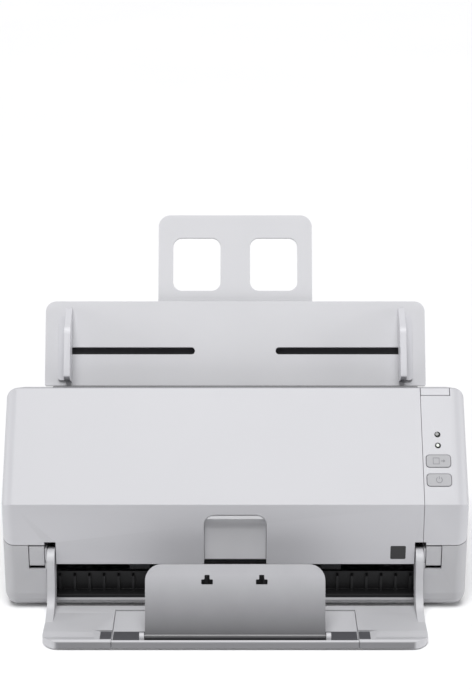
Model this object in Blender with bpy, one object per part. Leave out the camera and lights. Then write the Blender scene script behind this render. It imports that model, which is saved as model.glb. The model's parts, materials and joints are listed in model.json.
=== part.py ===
"""Sheet fed document scanner: a fixed base with a paper path, a front unit that opens on two
hinges, a paper chute with side guides, and a folding stacker tray.

+Z is up, -Y is the front, +X is the right side seen from the front. The origin is on the floor
under the middle of the whole machine. Lengths in this file are written in millimetres, measured
from the front face of the body (Y) and from the floor (Z); every mesh is made in metres.
"""

import math

import bmesh
import bpy
from mathutils import Matrix, Vector

MM = 0.001
DEPTH_CENTRE = 43.58    # from the front face of the body back to the origin
GAP = 0.35              # between neighbouring mouldings
WALL = 2.5              # of the outer mouldings

# Body
HALF_WIDTH = 149.0
BODY_TOP = 134.5
BAND_TOP = 74.5         # where the vertical band meets the sloping front panel
BAND_BOTTOM = 33.0
PANEL_TOP_Y = 51.0
FLOOR_Z = 2.5           # underside of the housing, standing on its feet
BODY_PROFILE = [
    (5, FLOOR_Z), (1, 7), (0, 12), (0, BAND_TOP), (PANEL_TOP_Y, BODY_TOP), (86, BODY_TOP),
    (93, 131), (113, 119), (131, 92), (135, 64), (135, 8), (131, FLOOR_Z),
]
END_ROUNDING = [(8.0, 0.0), (3.6, 1.3), (1.1, 3.9), (0.0, 8.0)]   # distance from the end, inset
INSET_MOST = 8.0        # more would turn over the shortest edges of the profile
CENTRE_HALF = 121.0     # half width of the paper path between the side frames
SPLIT_LINE = [(0, 46.0), (14, 52.5), (70, BODY_TOP)]   # between the front unit and the base
REAR_SPLIT_Y, REAR_SPLIT_Z = 90.0, 42.0
DECK_INSET = 2.0        # of the side decks from the body's ends
LIP_HALF, LIP_TOP = 114.7, 48.3         # lip under the cover, between the tray's arms
RECESS_HALF, RECESS_TOP, RECESS_DEPTH = 20.0, 67.5, 6.0     # finger recess
POCKET_HALF, POCKET_Y = 21.8, (0.7, 7.6)                    # walls around the finger recess
REAR_PANEL_HALF, REAR_SILL = 118.0, 9.0
USB_SOCKET, POWER_INLET = (-40.0, 19.0), (60.0, 19.0)       # centre (x, z)
FOOT_X, FOOT_Y = 118.0, (30.0, 118.0)
RIB_PITCH = 9.5         # of the ribs in the exit recess
# Blocks on the main board: corner (x, y), width, depth, height
BOARD_BLOCKS = [(-20, 84, 24, 24, 2), (30, 88, 14, 12, 2), (60, 92, 10, 20, 9), (-60, 96, 22, 6, 7)]

# Operator column on the right
COLUMN_X = 120.2
BUTTON_X, BUTTON_SIZE = 129.9, (15.4, 8.0)
BUTTON_PLACES = {"scan_button": 28.9, "power_button": 16.3}    # distance up the slope
LAMP_PLACES = {"status_lamp": 46.8, "power_lamp": 39.4}
LAMP_RADIUS = 1.7
LAMP_X = BUTTON_X + 0.1
LEVER_X = (COLUMN_X, 139.0)
LEVER_START = 73.6      # distance up the slope
LEVER_PIVOT = (49.0, 114.0)

# Paper path: a straight chute line, an arc, and a 25 degree run out of the front
CHUTE_ANGLE = 63.0
EXIT_ANGLE = 25.0
CHUTE_POINT = (76.0, 123.0)
ARC_CENTRE, ARC_RADIUS = (-7.9, 90.5), 60.0
PATH_HALF_GAP = 1.2
GUIDE_TOP = -11.0       # up the chute line, top of the fixed guide
GUIDE_BEND = -42.0      # up the chute line, where the front guide turns upright
THROAT_Y, GUIDE_MOUTH_Z = 61.7, 131.4
GUIDE_FRONT = 12.4      # the guides end behind the tray's hinge bosses
GUIDE_THICK, GUIDE_HALF = 2.0, 119.5
SENSOR_HALF, SENSOR_SPAN = 110.0, (-38.0, -54.0)    # half width, angles along the arc

# Rollers: centre (y, z), radius
PICK = ((69.8, 82.1), 12.8)
FEED = ((53.6, 59.2), 8.8)
EXIT = ((17.0, 28.2), 6.6)
BRAKE = ((49.3, 92.5), 9.7)
FEED_IDLER = ((40.2, 66.0), 5.8)
EXIT_IDLER = ((11.9, 39.2), 4.6)
SHAFT_RADIUS = 3.0
STUD_RADIUS = 1.4
IDLER_SHAFT_RADIUS = 1.9
FRAME_X, FRAME_THICK = 122.4, 1.5
GEAR_X, GEAR_WIDTH = -141.0, 4.6
TEETH = {"pick": 26, "feed": 18, "exit": 14, "idler": 14, "transfer": 33, "motor": 12}
IDLER_GEAR = (69.34, 62.11)
TRANSFER_GEAR = (37.8, 39.2)
MOTOR = (79.3, 53.75)

# Name ending, place along X and width of the tyres on each shaft
ROLLER_PLACES = {
    "pick": [("", 0, 42)],
    "feed": [("_left", -34, 15), ("_right", 34, 15)],
    "exit": [("", -62, 13), ("", 62, 13)],
    "brake": [("", 0, 40)],
    "feed_idler": [("", -34, 13), ("", 34, 13)],
    "exit_idler": [("", -62, 12), ("", 62, 12)],
}

# Hinges and trays
HINGE = (5.5, 37.5)
TRAY_HINGE = (3.0, 34.5)
BOSS_RADIUS = 8.6
ARM_X = (115.4, 120.2)
EAR_X = (122.2, 131.9)
EAR_TOP = 45.2
TRAY_FRONT = -53.0
EXTENSION_HALF = 76.5
CAVITY_SIDE = [(0.8, 4.0), (0.8, 43.0), (4.5, 44.0), (12.5, 44.0), (12.5, 4.0)]
STOPPER_HINGE = (-46.2, 6.3)
STOPPER_LEAN = 22.0
STOPPER_LENGTH = 44.5
STOPPER_HALF = 56.0
STOPPER_HOLES = (-17.5, 16.5)

# Chute and side guides, measured up the chute line from where it passes the body's top
CHUTE_TOP, CHUTE_HALF, TONGUE_HALF = 47.5, 127.0, 118.5
CHUTE_BACK, CHUTE_FACE = -4.2, -1.2     # its two faces, in front of the chute line
GUIDE_INNER, GUIDE_TRAVEL = 109.0, 78.0
GUIDE_WIDTH = 4.0
GUIDE_HEIGHT, GUIDE_LOW, GUIDE_HIGH = 14.0, -7.0, 42.5
SLOT_U = 14.0
STALK_X, STALK_HALF = (GUIDE_INNER + 0.6, GUIDE_INNER + 4.6), 1.9   # through the chute's slot
PINION_RADIUS = 8.0
RACK_BACK, RACK_FRONT = -7.2, -5.0
RACK_FIRST = 8.0        # distance of a rack's toothed end from the middle
EXTENSION_TOP, EXTENSION_WIDTH = 108.0, 52.0


# ---------------------------------------------------------------- small tools

def unit(angle):
    return math.cos(math.radians(angle)), math.sin(math.radians(angle))


CHUTE_DIR = unit(CHUTE_ANGLE)
CHUTE_NORMAL = (-CHUTE_DIR[1], CHUTE_DIR[0])     # towards the front of the machine
CHUTE_ZERO = (CHUTE_POINT[0] + (BODY_TOP - CHUTE_POINT[1]) * CHUTE_DIR[0] / CHUTE_DIR[1], BODY_TOP)


def on_chute(u, n):
    """The point at u up the chute line and n in front of it."""
    return (CHUTE_ZERO[0] + u * CHUTE_DIR[0] + n * CHUTE_NORMAL[0],
            CHUTE_ZERO[1] + u * CHUTE_DIR[1] + n * CHUTE_NORMAL[1])


SLOPE_LENGTH = math.hypot(PANEL_TOP_Y, BODY_TOP - BAND_TOP)
SLOPE_DIR = (PANEL_TOP_Y / SLOPE_LENGTH, (BODY_TOP - BAND_TOP) / SLOPE_LENGTH)
SLOPE_NORMAL = (-SLOPE_DIR[1], SLOPE_DIR[0])


def on_slope(v, n):
    """The point at v up the sloping front panel and n out of its surface."""
    return (v * SLOPE_DIR[0] + n * SLOPE_NORMAL[0], BAND_TOP + v * SLOPE_DIR[1] + n * SLOPE_NORMAL[1])


def world(x, y, z):
    return Vector((x * MM, (y - DEPTH_CENTRE) * MM, z * MM))


def arc(centre, radius, start, end, steps):
    """Points (y, z) on an arc, from one angle to the other, in degrees from +Y."""
    points = []
    for i in range(steps + 1):
        c, s = unit(start + (end - start) * i / steps)
        points.append((centre[0] + radius * c, centre[1] + radius * s))
    return points


def inset(points, distance):
    """A convex outline moved inwards by a distance."""
    centre = [sum(p[k] for p in points) / len(points) for k in (0, 1)]
    lines = []
    for i, (y, z) in enumerate(points):
        y2, z2 = points[(i + 1) % len(points)]
        length = math.hypot(y2 - y, z2 - z)
        normal = ((z2 - z) / length, (y - y2) / length)
        if (centre[0] - y) * normal[0] + (centre[1] - z) * normal[1] < 0:
            normal = (-normal[0], -normal[1])
        lines.append((normal, normal[0] * y + normal[1] * z + distance))
    result = []
    for i in range(len(points)):
        (a, b), c = lines[i - 1]
        (d, e), f = lines[i]
        det = a * e - b * d
        result.append(((c * e - b * f) / det, (a * f - c * d) / det))
    return result


def offset_line(points, distance):
    """An open line moved sideways, to its left when the distance is positive."""
    normals = []
    for (y, z), (y2, z2) in zip(points, points[1:]):
        length = math.hypot(y2 - y, z2 - z)
        normals.append((-(z2 - z) / length, (y2 - y) / length))
    result = []
    for i, (y, z) in enumerate(points):
        near = normals[max(i - 1, 0):i + 1]
        ny = sum(n[0] for n in near)
        nz = sum(n[1] for n in near)
        scale = 2 * distance / (ny * ny + nz * nz) if len(near) > 1 else distance
        result.append((y + ny * scale, z + nz * scale))
    return result


def make(name, vertices, faces):
    mesh = bpy.data.meshes.new(name)
    mesh.from_pydata([world(*v) for v in vertices], [], faces)
    shape = bmesh.new()
    shape.from_mesh(mesh)
    bmesh.ops.recalc_face_normals(shape, faces=shape.faces)
    shape.to_mesh(mesh)
    shape.free()
    obj = bpy.data.objects.new(name, mesh)
    bpy.context.scene.collection.objects.link(obj)
    return obj


def loft(name, rings):
    """A closed solid through rings of equally many (x, y, z) points, capped at both ends."""
    count = len(rings[0])
    vertices = [v for ring in rings for v in ring]
    faces = [tuple(range(count))]
    for r in range(len(rings) - 1):
        for i in range(count):
            j = (i + 1) % count
            faces.append((r * count + i, r * count + j, (r + 1) * count + j, (r + 1) * count + i))
    faces.append(tuple(range((len(rings) - 1) * count, len(rings) * count)))
    return make(name, vertices, faces)


def prism(name, outline, x0, x1):
    """An outline in the Y-Z plane, extruded along X."""
    return loft(name, [[(x, y, z) for y, z in outline] for x in (x0, x1)])


def box(name, x, y, z):
    return prism(name, [(y[0], z[0]), (y[1], z[0]), (y[1], z[1]), (y[0], z[1])], x[0], x[1])


def rod(name, centre, radius, x0, x1, sides=20):
    return prism(name, arc(centre, radius, 0, 360 * (1 - 1 / sides), sides - 1), x0, x1)


def plate(name, outline, place, n0, n1):
    """An outline of (x, distance) points in a sloping plane, with its thickness along the normal."""
    return loft(name, [[(x, *place(u, n)) for x, u in outline] for n in (n0, n1)])


def rectangle(x0, x1, u0, u1, radius=0.0, steps=4):
    """A rectangle as (x, u) points, with its corners rounded."""
    if not radius:
        return [(x0, u0), (x1, u0), (x1, u1), (x0, u1)]
    points = []
    corners = [(x1, u1, 0), (x0, u1, 90), (x0, u0, 180), (x1, u0, 270)]
    for x, u, start in corners:
        cx = x - radius if x == x1 else x + radius
        cu = u - radius if u == u1 else u + radius
        points += arc((cx, cu), radius, start, start + 90, steps)
    return points


def combine(obj, other, operation):
    """Cut, join or intersect with another object, which is used up."""
    modifier = obj.modifiers.new(operation, "BOOLEAN")
    modifier.operation = operation
    modifier.solver = "EXACT"
    modifier.object = other
    graph = bpy.context.evaluated_depsgraph_get()
    mesh = bpy.data.meshes.new_from_object(obj.evaluated_get(graph))
    obj.modifiers.clear()
    obj.data = mesh
    bpy.data.objects.remove(other)
    return obj


def cut(obj, *others):
    for other in others:
        combine(obj, other, "DIFFERENCE")
    return obj


def join(obj, *others):
    for other in others:
        combine(obj, other, "UNION")
    return obj


def common(obj, other):
    return combine(obj, other, "INTERSECT")


def named(obj, name, material, pivot=None, smooth=True):
    """Name a finished piece, give it its material and hang it on its joint's empty."""
    obj.name = name
    obj.data.name = name
    obj.data.materials.clear()
    obj.data.materials.append(material)
    if smooth:
        obj.data.shade_smooth()
        obj.data.set_sharp_from_angle(angle=math.radians(35))
    if pivot is not None:
        place = pivot.matrix_world.translation
        obj.data.transform(Matrix.Translation(-place))
        obj.parent = pivot
    return obj


def joint_axis(name, y, z, parent=None, x=0.0):
    """An empty on a joint's axis, which the pieces that move there hang on."""
    empty = bpy.data.objects.new(name, None)
    empty.empty_display_size = 0.02
    bpy.context.scene.collection.objects.link(empty)
    empty.location = world(x, y, z)
    if parent is not None:
        empty.parent = parent
        empty.location = world(x, y, z) - parent.matrix_world.translation
    bpy.context.view_layer.update()
    return empty


def material(name, colour, roughness, metallic=0.0):
    result = bpy.data.materials.new(name)
    result.use_nodes = True
    shader = result.node_tree.nodes["Principled BSDF"]
    shader.inputs["Base Color"].default_value = (*colour, 1.0)
    shader.inputs["Roughness"].default_value = roughness
    shader.inputs["Metallic"].default_value = metallic
    return result


# ---------------------------------------------------------------- shared shapes

def body_solid(name, skin):
    """The whole body with rounded ends, its skin moved inwards."""
    rings = []
    for side in (-1, 1):
        ends = [(side * (HALF_WIDTH - skin - back), skin + inward) for back, inward in END_ROUNDING]
        rings += ends[::-1] if side < 0 else ends
    return loft(name, [[(x, y, z) for y, z in inset(BODY_PROFILE, min(s, INSET_MOST))] for x, s in rings])


def body_shell(name):
    return cut(body_solid(name, 0.0), body_solid("hollow", WALL))


def split_region(above, x0, x1):
    """The space on one side of the split line between the front unit and the base."""
    line = offset_line(SPLIT_LINE, GAP if above else -GAP)
    first, last = line[0], line[-1]
    rise = (last[1] - line[1][1]) / (last[0] - line[1][0])
    far = (last[0] + 10, last[1] + 10 * rise)
    if above:
        outline = [(-9, first[1] - 9 * 6.5 / 14)] + line + [far, (-9, far[1])]
    else:
        corner = [(-9, first[1] - 1.6), (first[0] + 0.2, first[1] - 1.6), (first[0] + 1.6, first[1] + 0.6)]
        outline = corner + line[1:] + [far, (160, far[1]), (160, -5), (-9, -5)]
    return prism("region", outline, x0, x1)


def split_deck(above, x0, x1):
    """A wall along the split line that closes the side of the front unit or of the base."""
    sign = 1 if above else -1
    near = offset_line(SPLIT_LINE, sign * (GAP + 0.15))
    deep = offset_line(SPLIT_LINE, sign * (GAP + 2.0))
    wall = prism("deck", near + deep[::-1], x0, x1)
    return common(wall, body_solid("limit", WALL / 2))


def path_surface(side, thickness):
    """Outline of a guide plate along the paper path: side is 1 behind the paper, -1 in front.

    The plate in front leaves the chute line above the pick roller and rises to the front
    cover's rear edge, which makes the feeder's wedge-shaped mouth.
    """
    def run(distance):
        start, end = CHUTE_ANGLE - 90, EXIT_ANGLE - 90
        if side > 0:
            points = [on_chute(GUIDE_TOP, -distance)]
        else:
            mouth_y = THROAT_Y + distance + PATH_HALF_GAP
            points = [(mouth_y, GUIDE_MOUTH_Z), on_chute(GUIDE_BEND, -distance)]
        points += arc(ARC_CENTRE, ARC_RADIUS + distance, start, end, 8)
        out = unit(EXIT_ANGLE)
        y, z = points[-1]
        length = (y - GUIDE_FRONT) / out[0]
        return points + [(GUIDE_FRONT, z - length * out[1])]
    return run(side * PATH_HALF_GAP) + run(side * (PATH_HALF_GAP + thickness))[::-1]


def cut_roller_windows(guide, rollers):
    """Windows in a guide plate, through which the tyres reach the paper."""
    for part, (centre, radius) in rollers:
        for _suffix, x, width in ROLLER_PLACES[part]:
            cut(guide, rod("window", centre, radius + 1.4, x - width / 2 - 2, x + width / 2 + 2, 16))


def gear(name, centre, teeth, phase, x0, x1, bore):
    """A spur gear of module 1 with straight-sided teeth; phase is the angle of one tooth."""
    radius = teeth / 2.0
    pitch = 360.0 / teeth
    outline = []
    for i in range(teeth):
        angle = phase + i * pitch
        for part, level in ((-0.27, -1.2), (-0.11, 0.85), (0.11, 0.85), (0.27, -1.2)):
            c, s = unit(angle + part * pitch)
            outline.append((centre[0] + (radius + level) * c, centre[1] + (radius + level) * s))
    wheel = prism(name, outline, x0, x1)
    return cut(wheel, rod("bore", centre, bore, x0 - 1, x1 + 1, 16))


def meshing_phase(from_centre, from_teeth, from_phase, to_centre, to_teeth):
    """The tooth angle that puts a gap of the second gear at a tooth of the first."""
    line = math.degrees(math.atan2(to_centre[1] - from_centre[1], to_centre[0] - from_centre[0]))
    place = (line - from_phase) * from_teeth / 360.0
    return line + 180.0 - (0.5 - place) * 360.0 / to_teeth


def tyre(name, centre, radius, x0, x1, bore):
    return cut(rod(name, centre, radius, x0, x1, 24), rod("bore", centre, bore, x0 - 1, x1 + 1, 16))


# ---------------------------------------------------------------- the machine

def make_cover(looks, pivot):
    """The sloping cover with its left column, and the lip across its lower front edge."""
    region = box("region", (-CENTRE_HALF, COLUMN_X - GAP), (-9, 62), (LIP_TOP + GAP, 150))
    cover = common(body_shell("cover"), join(region, split_region(True, -160, -CENTRE_HALF + 0.5)))
    join(cover, split_deck(True, DECK_INSET - HALF_WIDTH, -CENTRE_HALF - 0.8))
    cut(cover, box("neck_space", (-EAR_X[1] - 0.4, -121.8), (2.9, 10.6), (40, 60)))
    join(cover, box("pocket", (-POCKET_HALF, POCKET_HALF), POCKET_Y, (LIP_TOP + GAP, 69.3)))
    cut(cover, finger_recess())
    cut(cover, box("notch", (-122.0, -LIP_HALF), (-2, 9), (30, LIP_TOP)))
    cut(cover, box("notch", (-EAR_X[1] - 0.4, -CENTRE_HALF), (-2, 9), (30, EAR_TOP + 0.6)))
    named(cover, "front_cover", looks["housing"], pivot)

    lip = common(body_shell("lip"), box("region", (-LIP_HALF, LIP_HALF), (-9, 20), (BAND_BOTTOM, LIP_TOP)))
    join(lip, box("pocket", (-POCKET_HALF, POCKET_HALF), POCKET_Y, (BAND_BOTTOM + GAP, LIP_TOP - 0.05)))
    cut(lip, finger_recess())
    named(lip, "front_lip", looks["housing"], pivot)


def finger_recess():
    """The hollow for the fingers in the middle of the front edge, open downwards."""
    outline = rectangle(-RECESS_HALF, RECESS_HALF, 20, RECESS_TOP, 7)
    return loft("recess", [[(x, y, z) for x, z in outline] for y in (-2, RECESS_DEPTH)])


def make_panel(looks, pivot):
    """The operator column on the right, open where the buttons, lamps and lever stand."""
    panel = common(body_shell("panel"), split_region(True, COLUMN_X, 160))
    join(panel, split_deck(True, COLUMN_X + 2.2, HALF_WIDTH - DECK_INSET))
    cut(panel, box("neck_space", (121.8, EAR_X[1] + 0.4), (2.9, 10.6), (40, 60)))
    cut(panel, box("notch", (CENTRE_HALF - 4, EAR_X[1] + 0.4), (-2, 9), (30, EAR_TOP + 0.6)))
    cut(panel, box("notch", (COLUMN_X - 1, 122.0), (-2, 9), (30, LIP_TOP)))
    for v in BUTTON_PLACES.values():
        half_x, half_v = BUTTON_SIZE[0] / 2 + GAP, BUTTON_SIZE[1] / 2 + GAP
        outline = rectangle(BUTTON_X - half_x, BUTTON_X + half_x, v - half_v, v + half_v, 2.2, 3)
        cut(panel, plate("hole", outline, on_slope, -6, 4))
    for v in LAMP_PLACES.values():
        cut(panel, plate("hole", lamp_outline(v, LAMP_RADIUS + 0.3), on_slope, -6, 4))
    lever_space = [on_slope(LEVER_START - GAP, -12), on_slope(LEVER_START - GAP, 6), (90, 150), (90, 118)]
    cut(panel, prism("space", lever_space, LEVER_X[0] - 1, LEVER_X[1] + GAP))
    named(panel, "operator_panel", looks["housing"], pivot)

    board = rectangle(COLUMN_X + 3.5, HALF_WIDTH - 9.5, 10, 54)
    named(plate("board", board, on_slope, -12.2, -10.6), "panel_board", looks["board"], pivot, False)
    for name, v in LAMP_PLACES.items():
        named(plate(name, lamp_outline(v, LAMP_RADIUS), on_slope, -3.4, 0.2), name, looks["lamp"], pivot)


def lamp_outline(v, radius):
    return [(LAMP_X + x, v + u) for x, u in arc((0, 0), radius, 0, 330, 11)]


def make_lever(looks, pivot):
    """The release lever: the top rear part of the column's skin, on a stem and a pin."""
    lever = body_shell("lever")
    skin = [on_slope(LEVER_START, -8), on_slope(LEVER_START, 4), (62, 145), (62, 126)]
    common(lever, prism("region", skin, LEVER_X[0] + 0.15, LEVER_X[1]))
    stem = [(53.5, BODY_TOP - 1), *arc(LEVER_PIVOT, 2.8, 160, 330, 6), (59.5, BODY_TOP - 1)]
    join(lever, prism("stem", stem, 128, 134))
    join(lever, rod("pin", LEVER_PIVOT, 1.5, 124, 138, 12))
    named(lever, "release_lever", looks["housing"], pivot)


def make_upper_path(looks, pivot):
    """The guide plate, the sensor and the brake roller's holder in front of the paper path."""
    guide = prism("guide", path_surface(-1, GUIDE_THICK), -GUIDE_HALF, GUIDE_HALF)
    rollers = (("brake", BRAKE), ("feed_idler", FEED_IDLER), ("exit_idler", EXIT_IDLER))
    cut_roller_windows(guide, rollers)
    named(cut(guide, sensor_window(40, 62)), "upper_guide", looks["dark"], pivot)
    named(sensor_bar(-1), "upper_sensor", looks["black"], pivot)
    named(sensor_glass(-1), "upper_glass", looks["glass"], pivot, False)

    holder = prism("holder", [(33, 104), (52, 107.5), (50, 116), (43, 116)], -30, 30)
    join(holder, prism("cheek", [(38, 89), (50, 89), (53.5, 96), (52, 108), (38, 108)], -30, 30))
    cut(holder, box("space", (-26, 26), (30, 70), (80, 103.6)))
    cut(holder, rod("bore", BRAKE[0], IDLER_SHAFT_RADIUS + 0.35, -32, 32, 16))
    named(holder, "brake_holder", looks["dark"], pivot)


def sensor_window(inner, outer):
    """The opening in a guide plate for an image sensor."""
    corners = arc(ARC_CENTRE, inner, *SENSOR_SPAN, 1) + arc(ARC_CENTRE, outer, *SENSOR_SPAN[::-1], 1)
    return prism("window", corners, -SENSOR_HALF - 1, SENSOR_HALF + 1)


def sensor_bar(side):
    """A contact image sensor across the paper path: side is 1 behind the paper, -1 in front."""
    inner, outer = sorted((ARC_RADIUS + side * 2.4, ARC_RADIUS + side * 15.5))
    back = (-50, -42) if side > 0 else (-51, -41)
    corners = arc(ARC_CENTRE, inner, -39.5, -52.5, 1) + arc(ARC_CENTRE, outer, *back, 1)
    return prism("bar", corners, -SENSOR_HALF, SENSOR_HALF)


def sensor_glass(side):
    low, high = sorted((ARC_RADIUS + side * 1.0, ARC_RADIUS + side * 2.1))
    corners = arc(ARC_CENTRE, low, -40, -52, 1) + arc(ARC_CENTRE, high, -52, -40, 1)
    return prism("glass", corners, 0.5 - SENSOR_HALF, SENSOR_HALF - 0.5)


def make_hinge_arms(looks, pivot):
    """Ears of the front unit that turn on pins in the base."""
    for mark, name in ((-1, "left"), (1, "right")):
        xs = sorted((mark * EAR_X[0], mark * EAR_X[1]))
        ear = arc(HINGE, 7.5, -132, 60, 12) + [(9.2, EAR_TOP), (0.3, EAR_TOP), (0.3, 32.4)]
        arm = prism("arm", ear, *xs)
        neck = [(3.2, 41), (10.2, 41), (10.2, 66), (3.2, 66)]
        join(arm, prism("neck", neck, *xs))
        cut(arm, rod("bore", HINGE, 2.3, xs[0] - 1, xs[1] + 1, 16))
        named(arm, "hinge_arm_" + name, looks["housing"], pivot)


def make_base(looks):
    """The fixed lower shell with its side pockets, hinge lugs and tray bearings."""
    region = split_region(False, -160, 160)
    middle = (-CENTRE_HALF - 0.2, CENTRE_HALF + 0.2)
    cut(region, box("front", middle, (-9, 110), (28.4, 200)))
    cut(region, box("front", middle, (-9, 20), (6.8, 200)))
    cut(region, box("rear", (-160, 160), (REAR_SPLIT_Y - GAP, 200), (REAR_SPLIT_Z - GAP, 200)))
    cut(region, box("bottom", (-132, 132), (20, 128), (-5, REAR_SILL)))
    base = common(body_shell("base"), region)
    cut(base, box("back", (-REAR_PANEL_HALF - GAP, REAR_PANEL_HALF + GAP), (128, 140), (REAR_SILL, 60)))
    for mark in (-1, 1):
        deck = split_deck(False, *side_by_side(mark, CENTRE_HALF + 0.2, HALF_WIDTH - DECK_INSET))
        join(base, cut(deck, box("trim", (-160, 160), (-9, 12.5), (30, 60))))
        cut(base, box("pocket", side_by_side(mark, 120.0, EAR_X[1] + 0.4), (-3, 14.2), (29.3, 60)))
        lug = [(0.8, 31), (5.5, 31)] + arc(HINGE, 5.0, -90, 60, 8) + [(4.5, 42.6), (2.0, 42.4), (0.8, 41.2)]
        join(base, prism("lug", lug, *side_by_side(mark, 132.7, 136.0)))
        join(base, prism("web", CAVITY_SIDE, *side_by_side(mark, 120.6, 121.9)))
        cut(base, rod("bearing", TRAY_HINGE, 2.4, *side_by_side(mark, 120.0, 122.0), 16))
        cut(base, rod("bore", HINGE, 2.0, *side_by_side(mark, 132, 137), 16))
    named(base, "base_housing", looks["housing"])


def side_by_side(mark, near, far):
    """A range along X on the left (mark -1) or on the right (mark 1)."""
    return sorted((mark * near, mark * far))


def make_rear(looks):
    """The rear cover, and the panel below it in which the sockets stand."""
    rear = common(body_shell("rear"), box("region", (-160, 160), (REAR_SPLIT_Y, 200), (REAR_SPLIT_Z, 200)))
    slot_half = EXTENSION_WIDTH + 2.5
    cut(rear, box("slot", (-slot_half, slot_half), (80, 98), (115, 140)))
    named(rear, "rear_housing", looks["housing"])

    heights = (REAR_SILL + GAP, REAR_SPLIT_Z - GAP)
    region = box("region", (-REAR_PANEL_HALF, REAR_PANEL_HALF), (120, 140), heights)
    panel = common(body_shell("panel"), region)
    usb_x, usb_z = USB_SOCKET
    cut(panel, box("hole", (usb_x - 7.3, usb_x + 7.3), (130, 140), (usb_z - 6.8, usb_z + 6.8)))
    cut(panel, rod_y("hole", POWER_INLET, 6.3, 130, 140, 18))
    named(panel, "rear_panel", looks["housing"])

    usb = box("usb", (usb_x - 7, usb_x + 7), (118, 134.6), (usb_z - 6.5, usb_z + 6.5))
    cut(usb, box("mouth", (usb_x - 4.4, usb_x + 4.4), (122, 140), (usb_z - 4.2, usb_z + 4.2)))
    join(usb, box("tongue", (usb_x - 2.8, usb_x + 2.8), (121, 132), (usb_z - 1.4, usb_z + 1.4)))
    named(usb, "usb_socket", looks["steel"], None, False)
    inlet = rod_y("inlet", POWER_INLET, 6.0, 118, 134.6, 18)
    cut(inlet, rod_y("mouth", POWER_INLET, 3.6, 122, 140, 18))
    join(inlet, rod_y("pin", POWER_INLET, 1.0, 121, 132, 8))
    named(inlet, "power_inlet", looks["black"])


def rod_y(name, centre, radius, y0, y1, sides):
    """A round rod along Y about a centre (x, z)."""
    ring = arc(centre, radius, 0, 360 * (1 - 1 / sides), sides - 1)
    return loft(name, [[(x, y, z) for x, z in ring] for y in (y0, y1)])


def make_bottom(looks):
    """The steel bottom plate with its vents, and the four feet."""
    floor = box("floor", (-131.6, 131.6), (20.4, 127.6), (2.7, 4.9))
    for x in range(-60, 61, 12):
        cut(floor, box("vent", (x - 2, x + 2), (50, 80), (0, 9)))
    named(floor, "bottom_plate", looks["steel"], None, False)
    for side, x in (("left", -FOOT_X), ("right", FOOT_X)):
        for end, y in zip(("front", "rear"), FOOT_Y):
            foot = loft("foot", [[(x + r * c, y + r * s, z) for c, s in map(unit, range(0, 360, 30))]
                                 for z, r in ((0.0, 6.0), (1.2, 7.0), (2.4, 7.0))])
            named(foot, f"foot_{end}_{side}", looks["rubber"])


def make_lower_path(looks):
    """The ribbed exit recess, the guide plate and the sensor behind the paper path."""
    floor = [(7.2, 6.0), (17.0, 6.0), (17.0, 20.6), (14.8, 20.6), (14.8, 7.8), (7.2, 7.8)]
    recess = prism("recess", floor, -120.2, 120.2)
    rib = [(15.5, 19.8), (12.6, 18), (12.6, 7.2), (15.5, 7.2)]
    for i in range(-12, 13):
        join(recess, prism("rib", rib, i * RIB_PITCH - 0.8, i * RIB_PITCH + 0.8))
    named(recess, "exit_recess", looks["black"], None, False)

    guide = prism("guide", path_surface(1, GUIDE_THICK), -GUIDE_HALF, GUIDE_HALF)
    cut_roller_windows(guide, (("pick", PICK), ("feed", FEED), ("exit", EXIT)))
    named(cut(guide, sensor_window(58, 80)), "lower_guide", looks["dark"])
    named(sensor_bar(1), "lower_sensor", looks["black"])
    named(sensor_glass(1), "lower_glass", looks["glass"], None, False)


def make_frames(looks):
    """The steel side frames that carry the shafts, and the hinge pins beside them."""
    outline = [(9, 6.2), (9, 26.6), (16, 33.5), (20, 48), (62, 110), (66, 118), (84, 118), (108, 100)]
    outline.append((108, 6.2))
    for mark, name in ((-1, "left"), (1, "right")):
        xs = side_by_side(mark, FRAME_X, FRAME_X + FRAME_THICK)
        frame = prism("frame", outline, *xs)
        for centre, _radius in (PICK, FEED, EXIT):
            cut(frame, rod("hole", centre, SHAFT_RADIUS + 0.25, xs[0] - 1, xs[1] + 1, 20))
        if mark < 0:
            for centre in (IDLER_GEAR, TRANSFER_GEAR):
                join(frame, rod("stud", centre, STUD_RADIUS, GEAR_X - 1.5, -FRAME_X - 0.5, 12))
            cut(frame, rod("hole", MOTOR, 5.0, xs[0] - 1, xs[1] + 1, 16))
        named(frame, "side_frame_" + name, looks["steel"], None, False)
        pin = rod("pin", HINGE, 1.7, *side_by_side(mark, 122.1, 136.6), 16)
        named(pin, "hinge_pin_" + name, looks["steel"])


def make_electrics(looks):
    """The drive motor and the main board."""
    motor = rod("motor", MOTOR, 17, -121.9, -97, 28)
    join(motor, rod("boss", MOTOR, 4.6, -123.5, -120, 16))
    cut(motor, rod("bore", MOTOR, 1.7, -125, -105, 12))
    named(motor, "drive_motor", looks["steel"])
    board = box("board", (-100, 100), (62, 116), (9.0, 10.6))
    for x, y, width, depth, height in BOARD_BLOCKS:
        join(board, box("block", (x, x + width), (y, y + depth), (10, 10.6 + height)))
    named(board, "main_board", looks["board"], None, False)


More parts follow.
